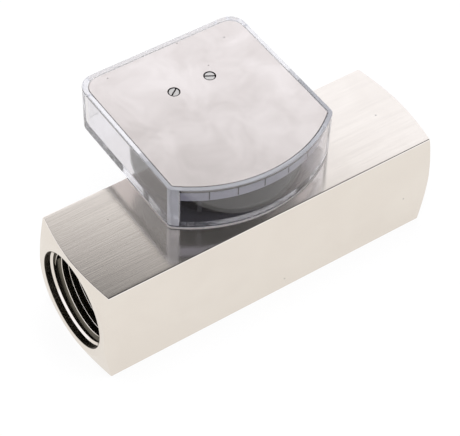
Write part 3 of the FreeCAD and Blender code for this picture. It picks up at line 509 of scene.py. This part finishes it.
@dataclass(frozen=True)
class ClearFinish:
    """Clear moulded plastic: smooth, faintly tinted, with light scuffs; lamps reach through it."""

    name: str
    tint: Colour
    roughness: float
    clearness: float = 1.0
    streak_height: float = 0.0
    streak_scale: float = 420.0
    streak_draw: float = 0.12
    wave_scale: float = 35.0
    wave_height: float = 0.00003
    scuff_scale: float = 220.0
    ior: float = 1.585

    def material(self, effects: Effects) -> Material:
        """Builds the material.

        Args:
            effects: the shared node groups.

        Returns:
            The material. Rays from lamps pass straight through, so what is inside stays lit.
        """
        material, g, shader = start_material(self.name)
        vector = g.add("TexCoord").outputs["Object"]
        scuffs = g.group(effects.mottle, {"Vector": vector, "Scale": self.scuff_scale})
        waves = g.noise(vector, self.wave_scale, 1.0)
        rough = g.spread(scuffs, self.roughness * 0.5, self.roughness * 1.5)
        bump = g.add("Bump", {"Height": waves, "Distance": self.wave_height, "Strength": 1.0})
        if self.streak_height:
            upright = g.add("Mapping", {0: vector, "Scale": (1.0, 1.0, self.streak_draw)}).outputs[0]
            drawn = g.noise(upright, self.streak_scale, 2.0)
            streaks = {"Height": drawn, "Distance": self.streak_height, "Normal": bump.outputs[0]}
            bump = g.add("Bump", streaks)
        g.feed(shader, {"Base Color": (*self.tint, 1), "Roughness": rough, "Normal": bump.outputs[0]})
        g.feed(shader, {"IOR": self.ior, "Transmission Weight": self.clearness})
        through = g.add("BsdfTransparent", {"Color": (*self.tint, 1)})
        lamps = g.add("LightPath").outputs["Is Shadow Ray"]
        mix = g.add("MixShader", {0: lamps, 1: shader.outputs[0], 2: through.outputs[0]})
        g.feed(material.node_tree.nodes["Material Output"], {"Surface": mix.outputs[0]})
        return material


# --- The bar ---


class BarZone(IntEnum):
    """The differently worked surfaces of the bar, in the order of its materials."""

    FLATS = 0
    ENDS = 1
    BORE = 2
    TOP = 3


@dataclass
class Bar:
    """The square bar with turned ends, its bore and its two ports."""

    span: Span = span_of("meter_body")
    edge_round: float = 0.5
    end_face_radius: float = 19.9
    end_turn_angle: float = 15.0
    mouth_radius: float = 17.15
    mouth_depth: float = 2.2
    lead_in_radius: float = 16.45
    lead_in_back: float = 0.7
    thread_major: float = 16.62
    port_depth: float = 19.0
    bore_radius: float = 13.0
    groove_radius: float = 13.9
    groove_from: float = 42.1
    groove_to: float = 43.5
    end_soft: float = 0.22
    flat_steps: int = 44
    corner_steps: int = 8

    @property
    def half_width(self) -> float:
        """From the bore's axis to a flat."""
        return self.span.size[2] / 2

    @property
    def half_length(self) -> float:
        """From the middle of the bar to an end."""
        return self.span.size[0] / 2

    @property
    def axis_height(self) -> float:
        """The bore's axis above the underside."""
        return self.span.low[2] + self.half_width

    def section(self) -> np.ndarray:
        """The square with round corners, as points (y, z) about the axis.

        One side runs straight along y = half width and ends in a quarter circle about a point that
        lies one rounding radius inside both flats. The other three sides are turned copies.
        """
        half, soft = self.half_width, self.edge_round
        straight = np.linspace(-(half - soft), half - soft, self.flat_steps, endpoint=False)
        side = np.stack([np.full_like(straight, half), straight], axis=-1)
        angle = np.linspace(0, math.pi / 2, self.corner_steps, endpoint=False)
        corner = half - soft + soft * np.stack([np.cos(angle), np.sin(angle)], axis=-1)
        quarter = np.concatenate([side, corner])
        turn = np.array([[0, 1], [-1, 0]])
        return np.concatenate([quarter @ np.linalg.matrix_power(turn, k) for k in range(4)])

    def path(self) -> tuple[list[np.ndarray], list[float], list[BarZone]]:
        """The closed path that the section is carried along: bore, port, end face, cone and flats.

        Each station holds (x, radius) for every point of the section. On the cone the bar ends at
        x = half length - (radius - end face radius) * tan(end angle).
        """
        reach = np.linalg.norm(self.section(), axis=-1)
        slope = math.tan(math.radians(self.end_turn_angle))
        end = self.half_length
        shoulder = end - (reach - self.end_face_radius) * slope
        floor = end - self.port_depth
        mouth_floor = end - self.mouth_depth
        lead_in = mouth_floor - (self.mouth_radius - self.lead_in_radius)
        bore, ends = BarZone.BORE, BarZone.ENDS
        # Each row has x, the radius, the rounding and the zone of the stretch that follows.
        half = [
            (self.groove_from, self.bore_radius, 0.0, bore),
            (self.groove_from, self.groove_radius, 0.0, bore),
            (self.groove_to, self.groove_radius, 0.0, bore),
            (self.groove_to, self.bore_radius, 0.0, bore),
            (floor, self.bore_radius, 0.1, bore),
            (floor, self.thread_major, 0.0, bore),
            (lead_in - self.lead_in_back, self.thread_major, 0.0, bore),
            (lead_in, self.lead_in_radius, 0.05, ends),
            (mouth_floor, self.mouth_radius, 0.0, bore),
            (end, self.mouth_radius, 0.12, ends),
            (end, self.end_face_radius, 0.05, ends),
            (shoulder, reach, self.end_soft, BarZone.FLATS),
        ]
        rows = half + [(-x, *others) for x, *others in reversed(half)]
        path = [np.stack(np.broadcast_arrays(x, r, reach), axis=-1)[:, :2] for x, r, _, _ in rows]
        cuts = [cut for _, _, cut, _ in rows]
        zones = [zone for _, _, _, zone in half]
        # The other half has the same stretches in reverse, and then the bore closes the path.
        zones += [*zones[-2::-1], bore]
        return path, cuts, zones

    def build(self, materials: Sequence[Material]) -> Object:
        """Carries the section along the path.

        Point i of a station stands at (x, r * u), where u is the unit direction of the section's
        point i.

        Args:
            materials: the finishes of the flats, the ends, the bore and the top; the bore's is darkened
                by cutting oil and painted shade.

        Returns:
            The bar, which stands for its solid.
        """
        section = self.section()
        unit = section / np.linalg.norm(section, axis=-1, keepdims=True)
        path, cuts, zones = self.path()
        stations, source = soften(path, cuts, steps=4)
        rings = [np.column_stack([station[:, 0], unit * station[:, 1:2]]) for station in stations]
        piece = make_sweep("bar", np.array(rings) + [0, 0, self.axis_height], closed=True)
        around = len(section)
        zone_of_ring = np.array([zones[index] for index in source], dtype=np.int32)
        zone_of_face = np.repeat(zone_of_ring[:, None], around, axis=1)
        top = slice(around // 4, around // 4 + self.flat_steps)
        zone_of_face[zone_of_ring == BarZone.FLATS, top] = BarZone.TOP
        piece.data.polygons.foreach_set("material_index", zone_of_face.ravel())
        weigh_normals(piece)
        return finish_piece(piece, materials, ["meter_body"])


@dataclass
class PortThread:
    """The ridge of one port's pipe thread, a helix that stands on the port's plain wall."""

    bar: Bar
    pitch: float = 2.309
    minor_radius: float = 15.15
    crest_half_width: float = 0.1
    flank_angle: float = 27.5
    wall_overlap: float = 0.12
    points_per_turn: int = 144
    lead_out_turns: float = 0.6
    spare_turns: float = 0.6
    least_height: float = 0.02
    crest_points: int = 7
    crest_spread: float = 1.4
    crest_dip: float = 0.18
    mouth_clear: float = 0.2
    floor_clear: float = 1.3

    @property
    def root_radius(self) -> float:
        """The radius of the ridge's foot, which stands inside the port's wall."""
        return self.bar.thread_major + self.wall_overlap

    def section(self) -> tuple[np.ndarray, np.ndarray]:
        """The ridge's closed section: how far each point lies along the axis, and its radius.

        The two flanks slope by the flank angle from the wall to the crest, which is rounded by a
        half cosine.
        """
        height = self.bar.thread_major - self.minor_radius + self.wall_overlap
        foot = self.crest_half_width + height * math.tan(math.radians(self.flank_angle))
        share = np.linspace(-1, 1, self.crest_points)
        along = np.concatenate([[-foot], share * self.crest_half_width * self.crest_spread, [foot]])
        crest = self.minor_radius + self.crest_dip * (1 - np.cos(share * math.pi / 2))
        return along, np.concatenate([[self.root_radius], crest, [self.root_radius]])

    def build(self, side: int, materials: Sequence[Material]) -> Object:
        """Carries the section along a right-hand helix between the port's floor and its lead-in cone.

        At a turn t the section's points stand at x = x0 + pitch * t + their place along the axis,
        and the ridge grows out of the wall over the turns at its inner end.

        Args:
            side: -1 for the inlet port and 1 for the outlet port.
            materials: the finishes of the crests and of the flanks; the flanks' is darkened by cutting
                oil and painted shade.

        Returns:
            The ridge.
        """
        bar = self.bar
        along, radius = self.section()
        outer_end = bar.mouth_depth + bar.mouth_radius - bar.lead_in_radius + self.mouth_clear
        turns = (bar.port_depth - outer_end) / self.pitch - self.spare_turns
        turn = np.linspace(0, turns, int(turns * self.points_per_turn))
        start, from_inside = bar.half_length - bar.port_depth + self.floor_clear, turn
        if side < 0:
            start, from_inside = outer_end - bar.half_length, turns - turn
        x = start + self.pitch * turn[:, None] + along[None, :]
        x = np.clip(x, outer_end - bar.half_length, bar.half_length - outer_end)
        lead = np.clip(from_inside / self.lead_out_turns, self.least_height, 1)[:, None]
        r = self.root_radius + (radius[None, :] - self.root_radius) * lead
        angle = math.tau * turn[:, None]
        points = np.stack([x, r * np.cos(angle), r * np.sin(angle) + bar.axis_height], axis=-1)
        name = "outlet_thread" if side > 0 else "inlet_thread"
        piece = make_sweep(name, points, sharp_angle=50)
        # The stretches between the crest's points are bright; the two flanks and the foot are dark with
        # cutting oil and painted shade.
        flank = np.ones(len(along), dtype=np.int32)
        flank[1:-2] = 0
        slots = np.append(np.tile(flank, len(turn) - 1), [1, 1])
        piece.data.polygons.foreach_set("material_index", slots)
        return finish_piece(piece, materials)


# --- The indicator box and its scale ---


@dataclass
class WindowOutline:
    """An outline of the box: straight sides and rear, and an arc in front."""

    half_width: float
    rear: float
    arc_radius: float
    rear_corner: float
    front_corner: float
    arc_centre: float = 31.2
    front_steps: int = 64
    corner_steps: int = 9
    side_steps: int = 6

    def points(self, inset: float = 0.0) -> np.ndarray:
        """Points (x, y) round the outline, moved inwards by an inset.

        The front is an arc about (0, arc centre). Each front corner is a small arc that touches the
        side and, from inside, the front arc; each rear corner is a quarter circle.

        Args:
            inset: how far the outline is moved inwards.

        Returns:
            The points, the same number whatever the inset.
        """
        side, back = self.half_width - inset, self.rear - inset
        arc, big, small = self.arc_radius - inset, self.rear_corner - inset, self.front_corner - inset
        small_x = side - small
        small_y = self.arc_centre - math.sqrt((arc - small) ** 2 - small_x**2)
        lean = math.atan2(small_y - self.arc_centre, small_x)

        def bow(x: float, y: float, radius: float, start: float, stop: float, steps: int) -> np.ndarray:
            """Points on an arc about (x, y), from a start angle to a stop angle."""
            angle = np.linspace(start, stop, steps)
            return np.stack([x + radius * np.cos(angle), y + radius * np.sin(angle)], axis=-1)

        quarter = math.pi / 2
        front = bow(0, self.arc_centre, arc, -math.pi - lean, lean, self.front_steps)[1:-1]
        right_front = bow(small_x, small_y, small, lean, 0, self.corner_steps)
        right_rear = bow(side - big, back - big, big, 0, quarter, self.corner_steps)
        share = np.linspace(0, 1, self.side_steps)[1:-1, None]
        right_side = right_front[-1] * (1 - share) + right_rear[0] * share
        right = np.concatenate([right_front, right_side, right_rear])
        rear = right_rear[-1] * (1 - share) + right_rear[-1] * [-1, 1] * share
        left = right[::-1] * [-1, 1]
        return np.concatenate([front, right, rear, left])


class BoxZone(IntEnum):
    """The differently finished surfaces of the clear box, in the order of its materials."""

    WINDOW = 0
    WALLS = 1
    EDGES = 2
    HAZY = 3
    RIM = 4
    UNDERSIDE = 5
    LINE = 6


@dataclass
class IndicatorBox:
    """The clear box: drafted walls, a rebate for the cover, and a floor that sits on the bar."""

    span: Span = span_of("indicator_box")
    cover: Span = span_of("cover_plate")
    bar: Span = span_of("meter_body")
    arc_radius: float = 48.4
    corners: tuple[float, float] = (5.8, 2.4)
    front_wall: float = 2.0
    side_wall: float = 3.75
    rear_wall: float = 2.6
    floor: float = 1.94
    hollow_corners: tuple[float, float] = (3.8, 1.2)
    draft: float = 0.5
    rim: float = 1.45
    rear_rim: float = 1.9
    rebate_corners: tuple[float, float] = (5.5, 1.7)
    air_gap: float = 0.03
    base_ring: float = 1.9
    base_edge: float = 0.5
    base_line: float = 0.5
    # How far the top, the rim, the rebate, the ledge and the floor are rounded.
    rounds: tuple[float, ...] = (0.3, 0.12, 0.1, 0.15, 0.2)
    cap_share: float = 0.5
    hazy_corner: float = 2.2

    def outline(
        self, side: float, rear: float, front: float, corners: tuple[float, float]
    ) -> WindowOutline:
        """The box's outline at its top, moved inwards, with its own rear and front corners."""
        half, back = self.span.high[:2]
        return WindowOutline(half - side, back - rear, self.arc_radius - front, *corners)

    def build(self, materials: Sequence[Material]) -> Object:
        """Carries the outline up the outside, over the rim and down the inside.

        At a depth d below the top a drafted wall is moved inwards by d * tan(draft). The two floors
        are closed by rings that shrink to a point.

        Args:
            materials: the finishes of the box's zones, in the order of BoxZone.

        Returns:
            The box, which stands for its solid.
        """
        outer = self.outline(0, 0, 0, self.corners)
        rebate = self.outline(self.rim, self.rear_rim, self.rim, self.rebate_corners)
        hollow = self.outline(self.side_wall, self.rear_wall, self.front_wall, self.hollow_corners)
        low, high = self.span.low[2], self.span.high[2]
        ledge, seat = self.cover.low[2], low + self.air_gap

        def at(outline: WindowOutline, level: float, draft: float, inset: float = 0.0) -> np.ndarray:
            """The outline at a level, drafted from the top and moved inwards by an inset."""
            flat = outline.points(inset + (high - level) * math.tan(math.radians(draft)))
            return np.column_stack([flat, np.full(len(flat), level)])

        path = [
            at(outer, seat, self.draft, self.base_ring),
            at(outer, seat, self.draft),
            at(outer, seat + self.base_edge + self.base_line, self.draft),
            at(outer, high, self.draft),
            at(rebate, high, 0.0),
            at(rebate, ledge, 0.0),
            at(hollow, ledge, self.draft),
            at(hollow, low + self.floor, self.draft),
        ]
        cuts = [0, 0, self.base_edge, 0, *self.rounds, 0]
        centre = np.array([0.0, (self.span.low[1] + self.span.high[1]) / 2, 0.0])
        shrink = [self.cap_share, self.cap_share, 1]
        first, last = (centre + (end - centre) * shrink for end in (path[0], path[-1]))
        stations, source = soften([first, *path, last], cuts, steps=6)
        poles = np.array([centre + [0, 0, end[0, 2]] for end in (first, last)])
        piece = make_sweep("clear_box", np.array(stations), poles=poles)
        piece.data.polygons.foreach_set("material_index", self.slots(outer, np.array(source)))
        weigh_normals(piece)
        return finish_piece(piece, materials, ["indicator_box"])

    def slots(self, outer: WindowOutline, source: np.ndarray) -> np.ndarray:
        """Chooses the finish of each face.

        Args:
            outer: the outer outline.
            source: for each station of the rounded loop, the number of the corner that it came from.

        Returns:
            The material index of each face: the quads, then the two caps.
        """
        # The loop's corners, in the order of IndicatorBox.build; corner 0 closes the underside.
        base, edge, line, top, rebate = range(1, 6)
        around = outer.points()
        row, after_row = source[:-1], source[1:]
        zones = np.full((len(row), len(around)), BoxZone.WALLS, dtype=np.int32)
        # The outline starts with the front arc, less its two ends, and goes on to the front corner
        # at +X; the other front corner comes last.
        on_front = np.zeros(len(around), dtype=bool)
        on_front[: outer.front_steps - 2 + outer.corner_steps] = True
        on_front[-outer.corner_steps :] = True
        before_hollow = np.abs(around[:, 0]) < outer.half_width - self.hazy_corner
        on_bar = around[:, 1] < self.bar.high[1]
        underside = np.where(on_bar, BoxZone.UNDERSIDE, BoxZone.WINDOW)
        zones[np.ix_(row == line, on_front)] = BoxZone.HAZY
        zones[np.ix_(row == line, on_front & before_hollow)] = BoxZone.WINDOW
        # A dark line along the front just above the bottom edge: painted shadow.
        zones[np.ix_(row == edge, on_front)] = BoxZone.LINE
        zones[row == top] = BoxZone.RIM
        zones[row >= rebate] = BoxZone.WINDOW
        # Where the box sits on the bar its underside is tinted dark: painted shade of the seat.
        zones[row <= base] = underside
        zones[(row == edge) & (after_row == edge)] = BoxZone.EDGES
        floor = np.full(len(around), BoxZone.WINDOW)
        return np.concatenate([zones.ravel(), underside, floor]).astype(np.int32)


@dataclass
class ReturnSpring:
    """The float's return spring, a helix of round wire."""

    span: Span = span_of("return_spring")
    joint: str = "float_slide"
    wire_radius: float = 0.4
    turns: int = 13
    steps_a_turn: int = 40
    around: int = 12

    def build(self, material: Material) -> Object:
        """Carries the wire's circle along a helix.

        At an angle a the wire's middle is at (start + pitch a / 2 pi, r sin a, axis - r cos a). Each
        point of the circle is the middle + w (cos b e + sin b n), where e points away from the
        axis and n is the tangent's cross product with e.

        Args:
            material: the wire's finish.

        Returns:
            The spring, which stands for its solid.
        """
        low, high = self.span.low, self.span.high
        mean_radius = (high[1] - low[1]) / 2 - self.wire_radius
        angle = np.linspace(0, math.tau * self.turns, self.turns * self.steps_a_turn + 1)
        along = np.linspace(low[0] + self.wire_radius, high[0] - self.wire_radius, len(angle))
        zero, one = np.zeros_like(angle), np.ones_like(angle)
        away = np.column_stack([zero, np.sin(angle), -np.cos(angle)])
        middle = away * mean_radius + np.column_stack([along, zero, one * (low[2] + high[2]) / 2])
        rise = (along[-1] - along[0]) / angle[-1]
        tangent = np.column_stack([rise * one, mean_radius * np.cos(angle), mean_radius * np.sin(angle)])
        tangent /= np.linalg.norm(tangent, axis=1, keepdims=True)
        beside = np.cross(tangent, away)
        turn = np.linspace(0, math.tau, self.around, endpoint=False)[None, :, None]
        circle = np.cos(turn) * away[:, None] + np.sin(turn) * beside[:, None]
        rings = middle[:, None] + self.wire_radius * circle
        piece = make_sweep("float_spring", rings, poles=middle[[0, -1]], sharp_angle=50)
        finish_piece(piece, [material], ["return_spring"])
        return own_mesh(piece)


@dataclass
class Scale:
    """The curved scale strip behind the window, with its lines."""

    strip: Span = span_of("scale_strip")
    arc_centre: float = 31.2
    outer_radius: float = 45.75
    thickness: float = 0.8
    soft: float = 0.12
    first_line: float = -25.5
    line_step: float = 11.45
    line_count: int = 5
    line_width: float = 0.4
    line_height: float = 4.1
    line_root: float = 0.05
    line_soft: float = 0.04
    relief: float = 0.12
    steps_a_degree: int = 3

    def band(
        self,
        name: str,
        middle: float,
        half_angle: float,
        levels: tuple[float, float],
        radii: tuple[float, float],
        soft: float,
    ) -> Object:
        """Makes a curved bar: a rectangle with softened corners, carried round the window's centre.

        A point at angle a and radius r stands at (r sin a, centre - r cos a).

        Args:
            name: the object's name.
            middle: the angle of its middle, in degrees.
            half_angle: half of the angle that it spans, in degrees.
            levels: its lowest and highest level.
            radii: its inner and outer radius.
            soft: how far its corners are softened.

        Returns:
            The object.
        """
        (low, high), (inner, outer) = levels, radii
        corners = ((outer, low), (outer, high), (inner, high), (inner, low))
        corners = [np.array([corner]) for corner in corners]
        section = np.concatenate(soften(corners, [soft] * len(corners), steps=4)[0])
        steps = max(2, int(half_angle * self.steps_a_degree))
        angle = np.radians(np.linspace(middle - half_angle, middle + half_angle, steps))[:, None]
        radius, level = section[None, :, 0], section[None, :, 1]
        x, y = radius * np.sin(angle), self.arc_centre - radius * np.cos(angle)
        return make_sweep(name, np.stack(np.broadcast_arrays(x, y, level), axis=-1))

    def build(self, white: Material, black: Material) -> None:
        """Makes the strip and its lines, which stand for their solids."""
        low, high = self.strip.low[2], self.strip.high[2]
        face = self.outer_radius
        half_angle = math.degrees(math.asin(self.strip.high[0] / face))
        radii = (face - self.thickness, face)
        strip = self.band("scale_band", 0.0, half_angle, (low, high), radii, self.soft)
        finish_piece(strip, [white], ["scale_strip"])
        half_line = math.degrees(self.line_width / 2 / face)
        levels, radii = (high - self.line_height, high), (face - self.line_root, face + self.relief)
        for index in range(self.line_count):
            middle = self.first_line + index * self.line_step
            line = self.band(f"scale_line_{index + 1}", middle, half_line, levels, radii, self.line_soft)
            finish_piece(line, [black], ["scale_lines"])


# --- Finishes of the solids that stay ---


@dataclass
class Finishes:
    """Every material of the meter."""

    effects: Effects = field(default_factory=Effects)

    def __post_init__(self) -> None:
        """Builds the materials."""
        axis = Bar().axis_height * MM
        nickel = (0.86, 0.815, 0.76), (0.83, 0.78, 0.725)
        # The bore's dark colour: cutting oil, and painted shade inside the bore and ports.
        oily_shade = (0.2, 0.185, 0.155), (0.14, 0.13, 0.105)
        cover = (0.835, 0.785, 0.76), (0.73, 0.675, 0.645)
        black = (0.03, 0.03, 0.033), (0.045, 0.045, 0.05)
        drawn = {"grain": Grain.DRAWN, "speck_share": 0.02, "axis_height": axis}
        flats = {**drawn, "grain_height": 1e-6, "grain_scale": 2600.0}
        brushed = {**drawn, "grain_height": 1.1e-5, "grain_scale": 2200.0, "mark_share": 0.03}
        turned = {"grain": Grain.TURNED, "grain_height": 4e-7, "axis_height": axis}
        # The cover gets painted shade in its screw recesses.
        handled = {"mottle_scale": 75.0, "grain_height": 1e-7, "speck_share": 0.03, "shade_reach": 0.0009}
        metals = [
            MetalFinish("nickel_flats", *nickel, 0.1, 0.05, **flats),
            MetalFinish("brushed_top", *nickel, 0.12, metallic=0.94, **brushed),
            MetalFinish("nickel_ends", *nickel, 0.12, 0.05, grain_scale=3000.0, **turned),
            MetalFinish("nickel_bore", *nickel, 0.1, grain_scale=2000.0, **turned),
            MetalFinish("oily_shaded_thread", *oily_shade, 0.22, 0.08, grain_scale=2000.0, **turned),
            MetalFinish("satin_cover", *cover, 0.2, 0.1, **handled),
            # The screws get painted shade in their slots and recesses.
            MetalFinish("bright_screw", (0.7, 0.68, 0.66), (0.6, 0.59, 0.57), 0.22, shade_reach=0.0014),
            MetalFinish("steel", (0.62, 0.61, 0.6), (0.52, 0.51, 0.5), 0.25),
            # The aluminium mechanism plate is coloured near black: painted shade under the cover.
            MetalFinish("mechanism_plate", *black, 0.5, 0.1, grain_height=2e-6),
            MetalFinish("brass", (0.8, 0.62, 0.33), (0.68, 0.5, 0.25), 0.28),
        ]
        solids = [
            SolidFinish("spider_plastic", (0.75, 0.74, 0.7), (0.68, 0.67, 0.63), 0.5),
            SolidFinish("bush_plastic", (0.82, 0.81, 0.78), (0.76, 0.75, 0.72), 0.4),
            SolidFinish("seal_rubber", (0.03, 0.03, 0.03), (0.045, 0.045, 0.045), 0.6),
            SolidFinish("magnet", (0.09, 0.09, 0.1), (0.06, 0.06, 0.065), 0.45),
            # The white scale strip is coloured grey: painted shade under the cover.
            SolidFinish("scale_white", (0.38, 0.38, 0.43), (0.34, 0.34, 0.39), 0.5),
            SolidFinish("scale_black", (0.02, 0.02, 0.025), (0.03, 0.03, 0.035), 0.5),
            SolidFinish("pointer_black", (0.02, 0.02, 0.022), (0.035, 0.035, 0.04), 0.45),
        ]
        clears = [
            ClearFinish("clear_window", (0.95, 0.945, 0.985), 0.02),
            ClearFinish("satin_clear", (0.92, 0.925, 0.96), 0.08, clearness=0.94, streak_height=8e-6),
            ClearFinish("hazy_clear", (0.9, 0.9, 0.96), 0.12, clearness=0.64, streak_height=1e-4),
            # Tinted dark: painted shade where the box sits on the bar.
            ClearFinish("seated_clear", (0.25, 0.25, 0.27), 0.04, clearness=0.86),
            ClearFinish("shaded_clear", (0.06, 0.06, 0.07), 0.1, clearness=0.3),
            ClearFinish("rim_clear", (0.83, 0.84, 0.89), 0.05, clearness=0.66),
            ClearFinish("frosted_clear", (0.9, 0.9, 0.95), 0.4, clearness=0.4),
        ]
        self.made = {finish.name: finish.material(self.effects) for finish in [*metals, *solids, *clears]}

    def __getitem__(self, name: str) -> Material:
        """The material of that name."""
        return self.made[name]

    def several(self, *names: str) -> list[Material]:
        """The materials of those names, in the same order."""
        return [self.made[name] for name in names]


# The record's slots whose finish has another name.
FINISH_OF_SLOT = {
    "nickel_plated_brass": "nickel_flats",
    "clear_plastic": "clear_window",
    "satin_nickel_cover": "satin_cover",
    "bright_steel_screw": "bright_screw",
    "stainless_steel": "steel",
    "mechanism_aluminium": "mechanism_plate",
    "plain_brass": "brass",
    "moulded_plastic": "spider_plastic",
}


def dress_solids(finishes: Finishes) -> None:
    """Gives every solid the finish of its slot in the record.

    Args:
        finishes: the meter's materials.
    """
    for part in frame["record"]["subparts"]:
        solid, slot = frame["nodes"][part["node"]], part["material_slot"]
        solid.data.materials.clear()
        solid.data.materials.append(finishes[FINISH_OF_SLOT.get(slot, slot)])
    log.info("dressed %d solids", len(frame["nodes"]))


# --- Studio ---


@dataclass
class Studio:
    """A pale floor, a white surround that turns grey overhead, one soft lamp and the camera."""

    azimuth: float = -36.13
    elevation: float = 48.82
    roll: float = 2.58
    distance: float = 563.8
    aim_right: float = 3.64
    aim_up: float = 13.28
    lens: float = 135.5
    floor_half: float = 3000.0
    floor_glow: float = 0.75
    floor_warmth: Colour = (1.0, 0.97, 0.93)
    floor_albedo: float = 0.14
    floor_white: float = 0.86
    lamp_power: float = 9.0
    lamp_side: float = 900.0
    lamp_height: float = 1100.0
    front_shift: float = 10.0
    pale_cast: Colour = (1.0, 1.005, 1.05)
    dim_cast: Colour = (1.03, 1.0, 0.99)
    strength: float = 1.25
    sensor: float = 36.0
    clip: tuple[float, float] = (0.01, 20.0)
    bounces: int = 32
    glossy_bounces: int = 24
    # Elevation in degrees and brightness of the surround there.
    surround: tuple[tuple[float, float], ...] = (
        *((0.0, 1.1), (40.0, 1.18), (46.0, 1.16), (48.0, 0.9)),
        *((50.0, 0.44), (51.8, 0.1), (56.0, 0.045), (90.0, 0.09)),
    )

    def camera(self) -> None:
        """Places the camera by its azimuth, elevation and distance from the middle of the bar's top."""
        azimuth, elevation, roll = (math.radians(a) for a in (self.azimuth, self.elevation, self.roll))
        flat = math.cos(elevation)
        back = Vector((math.sin(azimuth) * flat, -math.cos(azimuth) * flat, math.sin(elevation)))
        level = Vector((math.cos(azimuth), math.sin(azimuth), 0))
        upright = back.cross(level)
        right = level * math.cos(roll) + upright * math.sin(roll)
        up = upright * math.cos(roll) - level * math.sin(roll)
        target = Vector((0, 0, Span.of("meter_body").high[2]))
        place = target + back * self.distance - right * self.aim_right - up * self.aim_up
        data = bpy.data.cameras.new("camera")
        data.lens, data.sensor_width = self.lens, self.sensor
        data.clip_start, data.clip_end = self.clip
        camera = add_object("camera", data)
        turn = Matrix((right, up, back)).transposed().to_4x4()
        camera.matrix_world = Matrix.Translation(place * MM) @ turn
        bpy.context.scene.camera = camera

    def world(self) -> None:
        """Makes the surround, whose brightness follows the elevation of the direction looked in.

        In front, where no panel stands, it turns grey some degrees lower.
        """
        world = bpy.data.worlds.new("surround")
        world.use_nodes = True
        bpy.context.scene.world = world
        g = Graph(world.node_tree)
        direction = g.add("TexCoord").outputs["Generated"]
        height = g.add("SeparateXYZ", {0: direction}).outputs["Z"]
        share = g.maths("DIVIDE", g.maths("ARCSINE", height), math.pi / 2)
        azimuth = math.radians(self.azimuth)
        front = (math.sin(azimuth), -math.cos(azimuth), 0)
        toward = g.add("VectorMath", {0: direction, 1: front}, operation="DOT_PRODUCT").outputs["Value"]
        nearer = g.maths("MULTIPLY", g.maths("MAXIMUM", toward, 0.0), self.front_shift / QUARTER_TURN)
        ramp = g.add("ValToRGB", {0: g.maths("ADD", share, nearer)})
        # New stops start in the middle, and each is then moved to its own elevation.
        stops = ramp.color_ramp.elements
        while len(stops) < len(self.surround):
            stops.new(0.5)
        for stop, (elevation, brightness) in zip(stops, self.surround):
            stop.position = elevation / QUARTER_TURN
            level = brightness / self.strength
            cast = self.pale_cast if brightness > 1.0 else self.dim_cast
            stop.color = (*(level * channel for channel in cast), 1)
        white = (*[1 / self.strength] * 3, 1)
        shown = g.blend(g.add("LightPath").outputs["Is Camera Ray"], ramp.outputs[0], white)
        g.feed(world.node_tree.nodes["Background"], {"Strength": self.strength, "Color": shown})

    def floor(self) -> None:
        """A pale floor that takes the meter's shadow and looks white to the camera and in reflections."""
        half = self.floor_half
        mesh = bpy.data.meshes.new("floor")
        corners = np.array([[-half, -half, 0], [half, -half, 0], [half, half, 0], [-half, half, 0]]) * MM
        mesh.from_pydata(corners.tolist(), [], [[0, 1, 2, 3]])
        material, g, shader = start_material("pale_floor")
        grey = (*[self.floor_albedo] * 3, 1)
        g.feed(shader, {"Base Color": grey, "Roughness": 1.0, "Specular IOR Level": 0.0})
        path = g.add("LightPath").outputs
        mirrored = g.maths("MAXIMUM", path["Is Glossy Ray"], path["Is Transmission Ray"])
        glow = g.maths("MULTIPLY", mirrored, self.floor_glow)
        glow = g.maths("MULTIPLY_ADD", path["Is Camera Ray"], self.floor_white, glow)
        tone = g.blend(path["Is Camera Ray"], (*self.floor_warmth, 1), (1, 1, 1, 1))
        g.feed(shader, {"Emission Color": tone, "Emission Strength": glow})
        mesh.materials.append(material)
        add_object("floor", mesh)

    def lamp(self) -> None:
        """A large soft lamp overhead for the plain surfaces; polished metal doesn't show it."""
        data = bpy.data.lights.new("overhead", "AREA")
        data.shape, data.size, data.energy = "SQUARE", self.lamp_side * MM, self.lamp_power
        lamp = add_object("overhead", data)
        lamp.location = (0, 0, self.lamp_height * MM)
        lamp.visible_glossy = lamp.visible_camera = lamp.visible_transmission = False

    def build(self) -> None:
        """Makes the whole studio."""
        self.camera()
        self.world()
        self.floor()
        self.lamp()
        scene = bpy.context.scene
        scene.view_settings.view_transform = "Standard"
        # Light runs far inside the clear walls before it comes out.
        scene.cycles.max_bounces = scene.cycles.transmission_bounces = self.bounces
        scene.cycles.glossy_bounces = self.glossy_bounces


def main() -> None:
    """Builds the meter's looks and the studio, and reports each piece."""
    logging.basicConfig(level=logging.INFO, format="%(message)s")
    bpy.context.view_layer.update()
    finishes = Finishes()
    dress_solids(finishes)
    bar = Bar()
    bar.build(finishes.several("nickel_flats", "nickel_ends", "oily_shaded_thread", "brushed_top"))
    for side in (-1, 1):
        PortThread(bar).build(side, finishes.several("nickel_bore", "oily_shaded_thread"))
    walls = ("clear_window", "satin_clear", "frosted_clear", "hazy_clear")
    IndicatorBox().build(finishes.several(*walls, "rim_clear", "seated_clear", "shaded_clear"))
    Scale().build(finishes["scale_white"], finishes["scale_black"])
    ReturnSpring().build(finishes["steel"])
    Studio().build()


if __name__ == "__main__":
    main()
